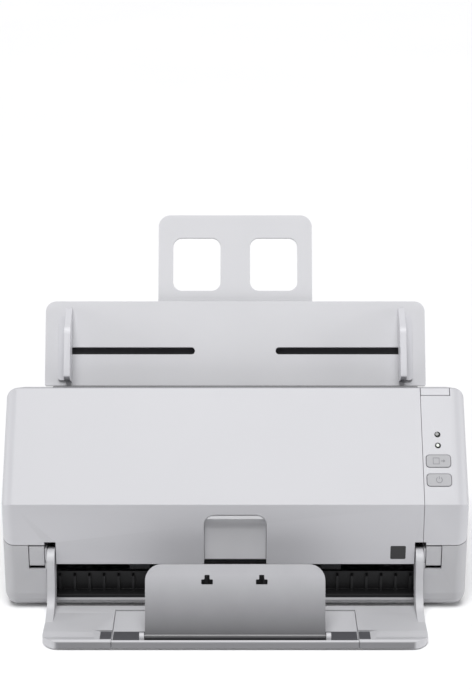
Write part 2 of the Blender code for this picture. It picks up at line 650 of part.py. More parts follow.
def make_rollers(looks, axes):
    """Shafts, tyres and gears of the paper path."""
    left, right = GEAR_X - 1.0, FRAME_X + FRAME_THICK + 2
    for part, (centre, radius) in (("pick", PICK), ("feed", FEED)):
        shaft = rod("shaft", centre, SHAFT_RADIUS, left, right, 20)
        named(shaft, part + "_shaft", looks["steel"], axes[part])
        for suffix, x, width in ROLLER_PLACES[part]:
            roller = tyre("tyre", centre, radius, x - width / 2, x + width / 2, SHAFT_RADIUS + 0.3)
            named(roller, part + "_roller" + suffix, looks["rubber"], axes[part])
    roller = rod("shaft", EXIT[0], SHAFT_RADIUS, left, right, 20)
    for _suffix, x, width in ROLLER_PLACES["exit"]:
        join(roller, rod("tyre", *EXIT, x - width / 2, x + width / 2, 24))
    named(roller, "exit_roller", looks["rubber"], axes["exit"])
    for part, (centre, radius) in (("brake", BRAKE), ("feed_idler", FEED_IDLER), ("exit_idler", EXIT_IDLER)):
        places = ROLLER_PLACES[part]
        half = places[-1][1] + places[-1][2] / 2 + 8
        roller = rod("shaft", centre, IDLER_SHAFT_RADIUS, -half, half, 16)
        for _suffix, x, width in places:
            join(roller, rod("tyre", centre, radius, x - width / 2, x + width / 2, 24))
        named(roller, part + ("_roller" if part == "brake" else ""), looks["rubber"], axes[part])


def make_gears(looks, axes):
    """The train from the motor to the three driven shafts."""
    x0, x1 = GEAR_X, GEAR_X + GEAR_WIDTH
    phases = {"feed": 0.0}
    centres = {"pick": PICK[0], "feed": FEED[0], "exit": EXIT[0], "idler": IDLER_GEAR,
               "transfer": TRANSFER_GEAR, "motor": MOTOR}
    for near, far in (("feed", "idler"), ("idler", "pick"), ("feed", "transfer"), ("transfer", "exit"),
                      ("idler", "motor")):
        phases[far] = meshing_phase(centres[near], TEETH[near], phases[near], centres[far], TEETH[far])
    for part, centre in centres.items():
        bore = STUD_RADIUS + 0.3 if part in ("idler", "transfer") else SHAFT_RADIUS + 0.3
        wheel = gear(part, centre, TEETH[part], phases[part], x0, x1, bore)
        if part == "motor":
            join(wheel, rod("shaft", centre, SHAFT_RADIUS + 0.5, x0, x1, 16),
                 rod("shaft", centre, STUD_RADIUS, x0, -106, 12))
        named(wheel, part + "_gear", looks["nylon"], axes[part])


def make_chute(looks, axes):
    """The input chute with the slots of the side guides, and its sliding extension."""
    corner = 6.0
    outline = arc((CHUTE_HALF - corner, CHUTE_TOP - corner), corner, 0, 90, 4)
    outline += arc((corner - CHUTE_HALF, CHUTE_TOP - corner), corner, 90, 180, 4)
    outline += [(-CHUTE_HALF, 2.4), (-TONGUE_HALF, 2.4), (-TONGUE_HALF, -9.5)]
    outline += [(TONGUE_HALF, -9.5), (TONGUE_HALF, 2.4), (CHUTE_HALF, 2.4)]
    chute = plate("chute", outline, on_chute, CHUTE_BACK, CHUTE_FACE)
    for mark in (-1, 1):
        reach = side_by_side(mark, GUIDE_INNER - GUIDE_TRAVEL - 4, GUIDE_INNER + 5.6)
        slot = rectangle(*reach, SLOT_U - 2.4, SLOT_U + 2.4)
        cut(chute, plate("slot", slot, on_chute, CHUTE_BACK - 1, CHUTE_FACE + 1))
    for mark in (-1, 1):
        near, far, lip = (mark * (EXTENSION_WIDTH + d) for d in (0.4, 3.4, -3.2))
        top = CHUTE_BACK + 0.6
        hook = [(near, top), (far, top), (far, -12.6), (lip, -12.6), (lip, -10.8), (near, -10.8)]
        join(chute, loft("rail", [[(x, *on_chute(u, n)) for x, n in hook] for u in (27.5, CHUTE_TOP - 6.2)]))
    named(chute, "chute", looks["housing"])

    outline = rectangle(-EXTENSION_WIDTH, EXTENSION_WIDTH, 22.0, EXTENSION_TOP, 8)
    sheet = plate("sheet", outline, on_chute, -10.4, -8.4)
    for x in (-26, 26):
        cut(sheet, plate("window", rectangle(x - 16, x + 16, 56, 92, 6), on_chute, -14, -6))
    named(sheet, "chute_extension", looks["housing"], axes["chute_extension"])


def make_side_guides(looks, axes):
    """The two fences that centre the paper, joined by their racks and one pinion."""
    profile = [(GUIDE_LOW, -0.8), (GUIDE_HIGH, -0.8), (GUIDE_HIGH, 2.0), (GUIDE_HIGH - 16, GUIDE_HEIGHT),
               (GUIDE_LOW + 2, GUIDE_HEIGHT), (GUIDE_LOW, GUIDE_HEIGHT - 3)]
    for mark, name in ((-1, "left"), (1, "right")):
        faces = (GUIDE_INNER, GUIDE_INNER + GUIDE_WIDTH)
        fence = loft("fence", [[(mark * x, *on_chute(u, n)) for u, n in profile] for x in faces])
        foot = rectangle(*side_by_side(mark, GUIDE_INNER + 0.3, GUIDE_INNER + 9), GUIDE_LOW + 1, 37, 2)
        join(fence, plate("foot", foot, on_chute, -0.7, 0.9))
        stalk = rectangle(*side_by_side(mark, *STALK_X), SLOT_U - STALK_HALF, SLOT_U + STALK_HALF)
        join(fence, plate("stalk", stalk, on_chute, CHUTE_BACK - 0.4, 0.5))
        named(fence, "side_guide_" + name, looks["guide"], axes["guide_" + name])
        named(rack_plate(mark), "guide_rack_" + name, looks["nylon"], axes["guide_" + name], False)
    named(pinion_gear(), "guide_pinion", looks["nylon"], axes["guide_pinion"], False)


def rack_plate(mark):
    """A toothed rack behind the chute, with a bridge to its side guide."""
    out = -mark
    line_u = SLOT_U + out * PINION_RADIUS
    near, far = -mark * RACK_FIRST, mark * STALK_X[1]
    back, root = line_u + out * 4.0, line_u + out * 1.25
    points = [(near, back), (near, root)]
    for i in range(int((GUIDE_TRAVEL + RACK_FIRST) / math.pi)):
        centre = rack_tooth(mark, i)
        for part, level in ((-0.27, 1.25), (-0.11, -0.75), (0.11, -0.75), (0.27, 1.25)):
            points.append((centre + mark * part * math.pi, line_u + out * level))
    points += [(far, root), (far, back)]
    rack = plate("rack", points, on_chute, RACK_BACK, RACK_FRONT)
    bridge = rectangle(*side_by_side(mark, *STALK_X), *sorted((SLOT_U - out * STALK_HALF, back)))
    return join(rack, plate("bridge", bridge, on_chute, RACK_BACK, RACK_FRONT))


def rack_tooth(mark, index):
    """The place of a rack's tooth: half a pitch from the pinion's tooth, which points along the slope."""
    first = RACK_FIRST - 0.64
    return mark * (first % math.pi - first + math.pi * (index + 0.5))


def pinion_gear():
    teeth = int(2 * PINION_RADIUS)
    outline = []
    for i in range(teeth):
        for part, level in ((-0.27, -1.2), (-0.11, 0.8), (0.11, 0.8), (0.27, -1.2)):
            c, s = unit(90 + (i + part) * 360.0 / teeth)
            outline.append(((PINION_RADIUS + level) * c, SLOT_U + (PINION_RADIUS + level) * s))
    return plate("pinion", outline, on_chute, RACK_BACK, RACK_FRONT)


def make_stacker(looks, axes):
    """The folding output tray on its two arms."""
    half = ARM_X[1]
    profile = [(-2.0, 1.2), (-2.0, 4.6), (-12, 4.4), (-38, 5.2), (-44, 4.6), (TRAY_FRONT + 2, 6.8),
               (TRAY_FRONT, 5.6), (TRAY_FRONT, 1.6), (TRAY_FRONT + 1, 0.8), (-12, 0.8)]
    tray = prism("tray", profile, -half, half)
    arm = arc(TRAY_HINGE, BOSS_RADIUS, -60, 165, 14)
    arm += [(-6.4, 25), (-8.4, 15), (-14, 8.5), (-25, 5), (-30, 2.4), (-2.0, 1.4), (3.6, 15)]
    for mark in (-1, 1):
        join(tray, prism("arm", arm, *side_by_side(mark, *ARM_X)))
        corner = ((half + 1, -1), (half - 10, -1), (half - 3, 3), (half + 1, 11))
        rings = [[(mark * x, TRAY_FRONT + y, z) for x, y in corner] for z in (-1, 9)]
        cut(tray, loft("corner", rings))
        join(tray, rod("pin", TRAY_HINGE, 2.0, *side_by_side(mark, 119.0, 121.7), 16))
    opening = (-EXTENSION_HALF - 0.5, EXTENSION_HALF + 0.5)
    cut(tray, box("opening", opening, (TRAY_FRONT - 5, -41), (-1, 12)))
    cut(tray, box("channel", opening, (TRAY_FRONT - 5, -8), (2.0, 12)))
    named(tray, "stacker_tray", looks["housing"], axes["tray"])


def make_extension(looks, axes):
    """The sliding front part of the tray, with two ears for the stopper."""
    sheet = [(-9, 2.4), (-9, 4.0), (-41.4, 4.0), (-41.4, 2.4)]
    slide = prism("slide", sheet, -EXTENSION_HALF, EXTENSION_HALF)
    nose = [(-41, 4.0), (-43, 4.4), (-49.6, 4.4), (TRAY_FRONT + 2, 6.8), (TRAY_FRONT, 5.6), (TRAY_FRONT, 1.6),
            (TRAY_FRONT + 1, 0.8), (-41, 0.8)]
    join(slide, prism("nose", nose, -EXTENSION_HALF, EXTENSION_HALF))
    ear = [(STOPPER_HINGE[0] - 2.6, 4.0), (STOPPER_HINGE[0] + 2.6, 4.0)] + arc(STOPPER_HINGE, 2.4, 0, 180, 6)
    for mark in (-1, 1):
        join(slide, prism("ear", ear, *side_by_side(mark, STOPPER_HALF + 0.5, STOPPER_HALF + 3.5)))
    cut(slide, rod("bore", STOPPER_HINGE, 1.3, -62, 62, 10))
    named(slide, "stacker_extension", looks["dark"], axes["extension"])


def on_stopper(u, n):
    """The point at u up the leaning stopper and n in front of it."""
    c, s = unit(90 - STOPPER_LEAN)
    return (STOPPER_HINGE[0] + u * c - n * s, STOPPER_HINGE[1] + u * s + n * c)


def make_stopper(looks, axes):
    """The flap that stops the sheets, on a barrel between the extension's ears."""
    corner = 10.0
    outline = [(-STOPPER_HALF, 0), (STOPPER_HALF, 0)]
    outline += arc((STOPPER_HALF - corner, STOPPER_LENGTH - corner), corner, 0, 90, 5)
    outline += arc((corner - STOPPER_HALF, STOPPER_LENGTH - corner), corner, 90, 180, 5)
    flap = plate("flap", outline, on_stopper, -1.1, 1.1)
    for x in STOPPER_HOLES:
        cut(flap, plate("hole", rectangle(x - 3.6, x + 3.6, 32, 38), on_stopper, -3, 3))
    join(flap, rod("barrel", STOPPER_HINGE, 1.7, -STOPPER_HALF, STOPPER_HALF, 12))
    join(flap, rod("pin", STOPPER_HINGE, 1.0, -STOPPER_HALF - 3, STOPPER_HALF + 3, 8))
    named(flap, "stopper", looks["stopper"], axes["stopper"])


def make_buttons(looks, axes):
    """The two push buttons, each with a flange behind the panel and a stem."""
    for name, v in BUTTON_PLACES.items():
        half_x, half_v = BUTTON_SIZE[0] / 2, BUTTON_SIZE[1] / 2
        outline = rectangle(BUTTON_X - half_x, BUTTON_X + half_x, v - half_v, v + half_v, 2.0, 3)
        key = plate(name, outline, on_slope, -5.3, 0.5)
        wide, high = half_x + 1.2, half_v + 0.9
        flange = rectangle(BUTTON_X - wide, BUTTON_X + wide, v - high, v + high)
        join(key, plate("flange", flange, on_slope, -6.4, -5.0))
        join(key, plate("stem", rectangle(BUTTON_X - 2, BUTTON_X + 2, v - 2, v + 2), on_slope, -9.2, -6.0))
        named(key, name, looks["key"], axes[name])


def make_looks():
    """One plain material for each slot."""
    return {
        "housing": material("housing", (0.69, 0.69, 0.72), 0.45),
        "guide": material("guide", (0.60, 0.60, 0.63), 0.45),
        "key": material("key", (0.46, 0.46, 0.49), 0.5),
        "dark": material("dark", (0.06, 0.06, 0.065), 0.5),
        "stopper": material("stopper", (0.33, 0.33, 0.35), 0.35),
        "black": material("black", (0.015, 0.015, 0.016), 0.5),
        "rubber": material("rubber", (0.03, 0.03, 0.032), 0.8),
        "steel": material("steel", (0.55, 0.55, 0.56), 0.35, 1.0),
        "nylon": material("nylon", (0.75, 0.74, 0.70), 0.5),
        "board": material("board", (0.03, 0.16, 0.07), 0.5),
        "glass": material("glass", (0.75, 0.85, 0.85), 0.05),
        "lamp": material("lamp", (0.05, 0.06, 0.05), 0.15),
    }


def make_axes():
    """An empty on each joint's axis; those of the front unit and of the tray ride on their parent."""
    front = joint_axis("front_unit_axis", *HINGE)
    tray = joint_axis("tray_axis", *TRAY_HINGE)
    extension = joint_axis("extension_axis", *STOPPER_HINGE, tray)
    axes = {"front": front, "tray": tray, "extension": extension}
    axes["lever"] = joint_axis("lever_axis", *LEVER_PIVOT, front)
    axes["stopper"] = joint_axis("stopper_axis", *STOPPER_HINGE, extension)
    for part, (centre, _radius) in (("pick", PICK), ("feed", FEED), ("exit", EXIT)):
        axes[part] = joint_axis(part + "_axis", *centre)
    for part, (centre, _radius) in (("brake", BRAKE), ("feed_idler", FEED_IDLER), ("exit_idler", EXIT_IDLER)):
        axes[part] = joint_axis(part + "_axis", *centre, front)
    for part, centre in (("idler", IDLER_GEAR), ("transfer", TRANSFER_GEAR), ("motor", MOTOR)):
        axes[part] = joint_axis(part + "_gear_axis", *centre)
    for name, v in BUTTON_PLACES.items():
        axes[name] = joint_axis(name + "_axis", *on_slope(v, 0), front, BUTTON_X)
    for name in ("guide_left", "guide_right", "guide_pinion"):
        axes[name] = joint_axis(name + "_axis", *on_chute(SLOT_U, 0))
    axes["chute_extension"] = joint_axis("chute_extension_axis", *on_chute(20, -9.4))
    return axes


def main():
    for obj in list(bpy.data.objects):
        bpy.data.objects.remove(obj)
    looks = make_looks()
    axes = make_axes()
    make_cover(looks, axes["front"])
    make_panel(looks, axes["front"])
    make_lever(looks, axes["lever"])
    make_upper_path(looks, axes["front"])
    make_hinge_arms(looks, axes["front"])
    make_base(looks)
    make_rear(looks)
    make_bottom(looks)
    make_lower_path(looks)
    make_frames(looks)
    make_electrics(looks)
    make_rollers(looks, axes)
    make_gears(looks, axes)
    make_chute(looks, axes)
    make_side_guides(looks, axes)
    make_stacker(looks, axes)
    make_extension(looks, axes)
    make_stopper(looks, axes)
    make_buttons(looks, axes)


main()
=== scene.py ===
"""Looks of the sheet fed document scanner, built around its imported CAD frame.

The visible mouldings are rebuilt here with rounded edges and take the place of their plain CAD
solids; the working parts inside keep their CAD shapes with small bevels. Lengths are written in
millimetres from the front face of the body (Y) and from the floor (Z).
"""

import math

import bmesh
import bpy
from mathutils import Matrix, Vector
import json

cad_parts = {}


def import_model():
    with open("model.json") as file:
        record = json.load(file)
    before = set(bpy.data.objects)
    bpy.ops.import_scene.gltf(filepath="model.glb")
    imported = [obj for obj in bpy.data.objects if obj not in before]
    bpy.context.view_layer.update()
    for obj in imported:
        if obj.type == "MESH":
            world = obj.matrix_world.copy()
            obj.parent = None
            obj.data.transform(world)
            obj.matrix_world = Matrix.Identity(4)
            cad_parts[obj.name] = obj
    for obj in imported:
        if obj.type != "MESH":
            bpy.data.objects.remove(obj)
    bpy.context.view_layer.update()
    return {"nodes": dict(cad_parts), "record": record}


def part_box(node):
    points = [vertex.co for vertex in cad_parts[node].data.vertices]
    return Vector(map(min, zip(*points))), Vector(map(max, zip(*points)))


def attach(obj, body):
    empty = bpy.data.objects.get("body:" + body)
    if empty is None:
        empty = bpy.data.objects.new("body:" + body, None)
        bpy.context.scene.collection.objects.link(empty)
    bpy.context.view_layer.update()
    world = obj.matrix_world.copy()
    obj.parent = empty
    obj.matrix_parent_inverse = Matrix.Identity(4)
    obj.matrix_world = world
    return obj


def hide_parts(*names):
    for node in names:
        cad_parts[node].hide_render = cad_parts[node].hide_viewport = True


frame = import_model()

MM = 0.001
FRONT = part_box("base_housing")[0][1] / MM       # the body's front face in the frame
HALF_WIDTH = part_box("base_housing")[1][0] / MM
BODY_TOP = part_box("base_housing")[1][2] / MM
WALL = 2.5
GAP = 0.3               # between neighbouring mouldings
BAND_TOP, BAND_BOTTOM = 74.5, 33.0      # of the upright band below the sloping panel
PANEL_TOP_Y = 51.0      # of the ridge where the panel ends and the deck begins
FLOOR_Z = 2.5           # underside of the housing, standing on its feet
# Side outline of the body: (y, z, rounding)
BODY_PROFILE = [
    (5, FLOOR_Z, 2.5), (1, 7, 3), (0, 12, 5), (0, BAND_TOP, 0.7), (PANEL_TOP_Y, BODY_TOP, 1.6),
    (88, 121.2, 12), (113, 108.5, 26), (131, 86, 28), (135, 64, 30), (135, 8, 3.5),
    (131, FLOOR_Z, 2.5),
]
END_RADIUS, END_STEPS = 8.0, 8          # rounding of the body's two ends
INSET_MOST = 8.0        # more would turn over the shortest edges of the outline
LEAST_RADIUS = 0.3      # of the outline's corners where the ends are rounded
SPLIT_LINE = [(0, 46.0), (14, 52.5), (70, BODY_TOP)]    # between the front unit and the base
DECK_INSET = 2.0        # of the walls along the split line from the body's ends
CENTRE_HALF = 121.0     # half width of the paper's path between the side towers
COVER_BACK = 62.0       # rear edge of the front cover and the lever
REAR_SPLIT_Y, REAR_SPLIT_Z = 90.0, 42.0     # front and lower edges of the rear housing
REAR_PANEL_HALF, REAR_SILL = 118.0, 9.0
USB_SOCKET, USB_HALF = (-40.0, 19.0), (7.2, 6.7)
POWER_INLET, POWER_RADIUS = (60.0, 19.0), 6.25
RECESS_HALF, RECESS_LOW, RECESS_TOP, RECESS_DEPTH = 20.0, 20.0, 67.5, 6.0       # finger recess
LINER_GAP = 0.25
# How far the cutting shapes reach past the body
PAST_SIDE, PAST_FRONT, PAST_TOP, FAR = 160, -9, 150, 200

# Operator column, its places measured up the slope
COLUMN_X = 120.2
BUTTON_X, BUTTON_SIZE, BUTTON_GAP = 129.9, (15.4, 8.0), 0.35
BUTTONS = {"scan_button": 28.9, "power_button": 16.3}
LAMP_X, LAMP_RADIUS = 130.0, 1.7
LAMPS = {"status_lamp": 46.8, "power_lamp": 39.4}
LEVER_X, LEVER_START, LEVER_PIVOT, LEVER_GAP = (COLUMN_X, 139.0), 73.6, (49.0, 114.0), 0.35

# Hinges: (y, z) of their axes, and distances from the middle
HINGE, TRAY_HINGE, BOSS_RADIUS = (5.5, 37.5), (3.0, 34.5), 8.6
ARM_X, ARM_NOTCH_X, ARM_NOTCH_TOP = (115.4, 120.2), (114.7, 122.0), 48.3
EAR_X, EAR_TOP, EAR_GAP = (122.2, 131.9), 45.2, 0.4
EAR_NOTCH_TOP = EAR_TOP + 0.6
CAVITY_SIDE = [(0.8, 4.0), (0.8, 43.0), (4.5, 44.0), (12.5, 44.0), (12.5, 4.0)]

# Stacker
TRAY_FRONT, TRAY_CORNER, EXTENSION_HALF, NOSE_BACK = -53.0, 12.0, 76.5, -41.0
POCKET_HALF, POCKET_BACK, INSERT_Z = 84.5, -36.0, (3.7, 4.2)    # dark recess behind the tray's front edge
STOPPER_HINGE, STOPPER_LEAN, STOPPER_LENGTH, STOPPER_HALF = (-46.2, 6.3), 22.0, 44.5, 56.0
STOPPER_HOLES = (-17.5, 16.5)

# Chute: u runs up the chute from the height of the body's top, n stands out from its plane
CHUTE_ANGLE, CHUTE_POINT = 63.0, (76.0, 123.0)
CHUTE_TOP, CHUTE_LOW, CHUTE_HALF = 47.5, -9.5, 127.0
CHUTE_BACK, CHUTE_FACE = -4.2, -1.2
SLOT_U, SLOT_HALF = 14.0, 2.4
GUIDE_INNER, GUIDE_WIDTH, GUIDE_TRAVEL = 109.0, 4.0, 78.0
GUIDE_HEIGHT, GUIDE_LOW, GUIDE_HIGH = 14.0, -7.0, 42.5
EXTENSION_U, EXTENSION_WIDTH = (22.0, 108.0), 52.0      # its width is measured from the middle

INNER_WELD, INNER_BEVEL = 0.002, 0.2    # on the parts inside
CAMERA_ELEVATION, CAMERA_DISTANCE, CAMERA_AIM, CAMERA_LENS = 19.21, 1093.9, (0.5, 40.0, 168.07), 89.71


# ---------------------------------------------------------------- shape tools

def unit(angle):
    return math.cos(math.radians(angle)), math.sin(math.radians(angle))


CHUTE_DIR = unit(CHUTE_ANGLE)
CHUTE_NORMAL = (-CHUTE_DIR[1], CHUTE_DIR[0])
CHUTE_ZERO = (CHUTE_POINT[0] + (BODY_TOP - CHUTE_POINT[1]) * CHUTE_DIR[0] / CHUTE_DIR[1], BODY_TOP)
SLOPE_LENGTH = math.hypot(PANEL_TOP_Y, BODY_TOP - BAND_TOP)
SLOPE_DIR = (PANEL_TOP_Y / SLOPE_LENGTH, (BODY_TOP - BAND_TOP) / SLOPE_LENGTH)
SLOPE_NORMAL = (-SLOPE_DIR[1], SLOPE_DIR[0])


def on_chute(u, n):
    return (CHUTE_ZERO[0] + u * CHUTE_DIR[0] + n * CHUTE_NORMAL[0],
            CHUTE_ZERO[1] + u * CHUTE_DIR[1] + n * CHUTE_NORMAL[1])


def on_slope(v, n):
    return (v * SLOPE_DIR[0] + n * SLOPE_NORMAL[0], BAND_TOP + v * SLOPE_DIR[1] + n * SLOPE_NORMAL[1])


def on_stopper(u, n):
    lean = unit(90 - STOPPER_LEAN)
    return (STOPPER_HINGE[0] + u * lean[0] - n * lean[1], STOPPER_HINGE[1] + u * lean[1] + n * lean[0])


def world(x, y, z):
    return Vector((x * MM, (y + FRONT) * MM, z * MM))


def arc(centre, radius, start, end, steps):
    return [(centre[0] + radius * c, centre[1] + radius * s)
            for c, s in (unit(start + (end - start) * i / steps) for i in range(steps + 1))]


def circle(radius, sides):
    return arc((0, 0), radius, 0, 360 * (1 - 1 / sides), sides - 1)


def side_by_side(mark, near, far):
    """Two distances from the middle as a span in X, on the left for a mark of -1."""
    return sorted((mark * near, mark * far))


def inset(points, distance):
    """A convex outline moved inwards."""
    centre = [sum(p[k] for p in points) / len(points) for k in (0, 1)]
    lines = []
    for i, (y, z) in enumerate(points):
        y2, z2 = points[(i + 1) % len(points)]
        length = math.hypot(y2 - y, z2 - z)
        normal = ((z2 - z) / length, (y - y2) / length)
        if (centre[0] - y) * normal[0] + (centre[1] - z) * normal[1] < 0:
            normal = (-normal[0], -normal[1])
        lines.append((normal, normal[0] * y + normal[1] * z + distance))
    result = []
    for i in range(len(points)):
        (a, b), c = lines[i - 1]
        (d, e), f = lines[i]
        det = a * e - b * d
        result.append(((c * e - b * f) / det, (a * f - c * d) / det))
    return result


def filleted(points, radii, steps=6):
    """An outline with each corner replaced by an arc of its own radius, or kept where that is 0."""
    result = []
    for i, (y, z) in enumerate(points):
        radius = radii[i]
        before, after = points[i - 1], points[(i + 1) % len(points)]
        da = Vector((before[0] - y, before[1] - z))
        db = Vector((after[0] - y, after[1] - z))
        la, lb = da.length, db.length
        da.normalize()
        db.normalize()
        turn = math.pi - da.angle(db)
        if radius <= 0 or turn < 0.02:
            result.append((y, z))
            continue
        reach = min(radius * math.tan(turn / 2), la * 0.48, lb * 0.48)
        radius = reach / math.tan(turn / 2)
        middle = (da + db).normalized() * math.hypot(reach, radius)
        centre = Vector((y, z)) + middle
        first = Vector((y, z)) + da * reach - centre
        last = Vector((y, z)) + db * reach - centre
        swing = first.angle_signed(last)
        for k in range(steps + 1):
            angle = -swing * k / steps
            c, s = math.cos(angle), math.sin(angle)
            result.append((centre.x + first.x * c - first.y * s, centre.y + first.x * s + first.y * c))
    return result


def offset_line(points, distance):
    """An open line moved sideways, its corners kept sharp."""
    normals = []
    for (y, z), (y2, z2) in zip(points, points[1:]):
        length = math.hypot(y2 - y, z2 - z)
        normals.append((-(z2 - z) / length, (y2 - y) / length))
    result = []
    for i, (y, z) in enumerate(points):
        near = normals[max(i - 1, 0):i + 1]
        ny = sum(n[0] for n in near)
        nz = sum(n[1] for n in near)
        scale = 2 * distance / (ny * ny + nz * nz) if len(near) > 1 else distance
        result.append((y + ny * scale, z + nz * scale))
    return result


def make(name, vertices, faces):
    mesh = bpy.data.meshes.new(name)
    mesh.from_pydata([world(*v) for v in vertices], [], faces)
    shape = bmesh.new()
    shape.from_mesh(mesh)
    bmesh.ops.recalc_face_normals(shape, faces=shape.faces)
    shape.to_mesh(mesh)
    shape.free()
    obj = bpy.data.objects.new(name, mesh)
    bpy.context.scene.collection.objects.link(obj)
    return obj


def loft(name, rings):
    count = len(rings[0])
    faces = [tuple(range(count))]
    for r in range(len(rings) - 1):
        for i in range(count):
            j = (i + 1) % count
            faces.append((r * count + i, r * count + j, (r + 1) * count + j, (r + 1) * count + i))
    faces.append(tuple(range((len(rings) - 1) * count, len(rings) * count)))
    return make(name, [v for ring in rings for v in ring], faces)


def prism(name, outline, x0, x1):
    return loft(name, [[(x, y, z) for y, z in outline] for x in (x0, x1)])


def box(name, x, y, z):
    return prism(name, [(y[0], z[0]), (y[1], z[0]), (y[1], z[1]), (y[0], z[1])], x[0], x[1])


def rod(name, centre, radius, x0, x1, sides=48):
    return prism(name, [(centre[0] + y, centre[1] + z) for y, z in circle(radius, sides)], x0, x1)


def along_y(name, outline, y0, y1):
    """An outline in X and Z, run from front to back."""
    return loft(name, [[(x, y, z) for x, z in outline] for y in (y0, y1)])


def plate(name, outline, place, n0, n1):
    """An outline on the chute, the panel's slope or the stopper, as given by place."""
    return loft(name, [[(x, *place(u, n)) for x, u in outline] for n in (n0, n1)])


def rectangle(x0, x1, u0, u1, radius=0.0, steps=6):
    corners = [(x0, u0), (x1, u0), (x1, u1), (x0, u1)]
    return filleted(corners, [radius] * 4, steps) if radius else corners


def combine(obj, other, operation):
    modifier = obj.modifiers.new(operation, "BOOLEAN")
    modifier.operation = operation
    modifier.solver = "EXACT"
    modifier.object = other
    graph = bpy.context.evaluated_depsgraph_get()
    mesh = bpy.data.meshes.new_from_object(obj.evaluated_get(graph))
    obj.modifiers.clear()
    obj.data = mesh
    bpy.data.objects.remove(other)
    return obj


def cut(obj, *others):
    for other in others:
        combine(obj, other, "DIFFERENCE")
    return obj


def join(obj, *others):
    for other in others:
        combine(obj, other, "UNION")
    return obj


def common(obj, other):
    return combine(obj, other, "INTERSECT")


def soften(obj, width, segments=2, angle=32):
    """Small rounded edges, and normals that keep the flat faces flat."""
    shape = bmesh.new()
    shape.from_mesh(obj.data)
    bmesh.ops.dissolve_limit(shape, angle_limit=math.radians(0.2), verts=shape.verts, edges=shape.edges)
    shape.to_mesh(obj.data)
    shape.free()
    bevel = obj.modifiers.new("edges", "BEVEL")
    bevel.width = width * MM
    bevel.segments = segments
    bevel.limit_method = "ANGLE"
    bevel.angle_limit = math.radians(angle)
    bevel.miter_outer = "MITER_ARC"
    graph = bpy.context.evaluated_depsgraph_get()
    mesh = bpy.data.meshes.new_from_object(obj.evaluated_get(graph))
    obj.modifiers.clear()
    obj.data = mesh
    settle_normals(mesh)
    return obj


def settle_normals(mesh, limit=50):
    """Corner normals weighted by the square of each face's area, so that flat faces look flat."""
    mesh.shade_smooth()
    faces = mesh.polygons
    normals = [face.normal.copy() for face in faces]
    weights = [max(face.area * 1e6, 1e-6) ** 2 for face in faces]
    around = [[] for _vertex in mesh.vertices]
    for face in faces:
        for vertex in face.vertices:
            around[vertex].append(face.index)
    least = math.cos(math.radians(limit))
    corners = []
    for face in faces:
        own = normals[face.index]
        for vertex in face.vertices:
            total = Vector()
            for near in around[vertex]:
                if normals[near].dot(own) > least:
                    total += normals[near] * weights[near]
            corners.append(total.normalized() if total.length > 0 else own)
    mesh.normals_split_custom_set(corners)


def piece(obj, name, look, body, replaced=(), bevel=0.3, segments=2):
    """Finish a new piece: its edges, its material, the body it rides on and the nodes it replaces."""
    if bevel:
        soften(obj, bevel, segments)
    else:
        settle_normals(obj.data)
    obj.name = name
    obj.data.name = name
    obj.data.materials.clear()
    obj.data.materials.append(look)
    for polygon in obj.data.polygons:
        polygon.material_index = 0
    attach(obj, body)
    if replaced:
        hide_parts(*replaced)
    return obj


# ---------------------------------------------------------------- materials

def node_material(name, roughness, metallic=0.0):
    result = bpy.data.materials.new(name)
    result.use_nodes = True
    tree = result.node_tree
    shader = tree.nodes["Principled BSDF"]
    shader.inputs["Roughness"].default_value = roughness
    shader.inputs["Metallic"].default_value = metallic
    return result, tree, shader


def texture(tree, kind, scale, detail=3.0, stretch=None):
    coordinates = tree.nodes.new("ShaderNodeTexCoord")
    vector = coordinates.outputs["Object"]
    if stretch:
        mapping = tree.nodes.new("ShaderNodeMapping")
        mapping.inputs["Scale"].default_value = stretch
        tree.links.new(vector, mapping.inputs["Vector"])
        vector = mapping.outputs["Vector"]
    node = tree.nodes.new(kind)
    node.inputs["Scale"].default_value = scale
    if "Detail" in node.inputs:
        node.inputs["Detail"].default_value = detail
    tree.links.new(vector, node.inputs["Vector"])
    return node


def ramp(tree, source, low, high, colour_low, colour_high):
    node = tree.nodes.new("ShaderNodeValToRGB")
    node.color_ramp.elements[0].position = low
    node.color_ramp.elements[1].position = high
    node.color_ramp.elements[0].color = (*colour_low, 1)
    node.color_ramp.elements[1].color = (*colour_high, 1)
    tree.links.new(source, node.inputs["Fac"])
    return node.outputs["Color"]


def mixed(tree, factor, first, second, blend="MIX"):
    node = tree.nodes.new("ShaderNodeMix")
    node.data_type = "RGBA"
    node.blend_type = blend
    if isinstance(factor, float):
        node.inputs["Factor"].default_value = factor
    else:
        tree.links.new(factor, node.inputs["Factor"])
    tree.links.new(first, node.inputs["A"])
    tree.links.new(second, node.inputs["B"])
    return node.outputs["Result"]


def add_bump(tree, shader, height, strength, distance):
    bump = tree.nodes.new("ShaderNodeBump")
    bump.inputs["Strength"].default_value = strength
    bump.inputs["Distance"].default_value = distance
    tree.links.new(height, bump.inputs["Height"])
    tree.links.new(bump.outputs["Normal"], shader.inputs["Normal"])


def scaled(colour, factor):
    return tuple(min(1.0, c * factor) for c in colour)


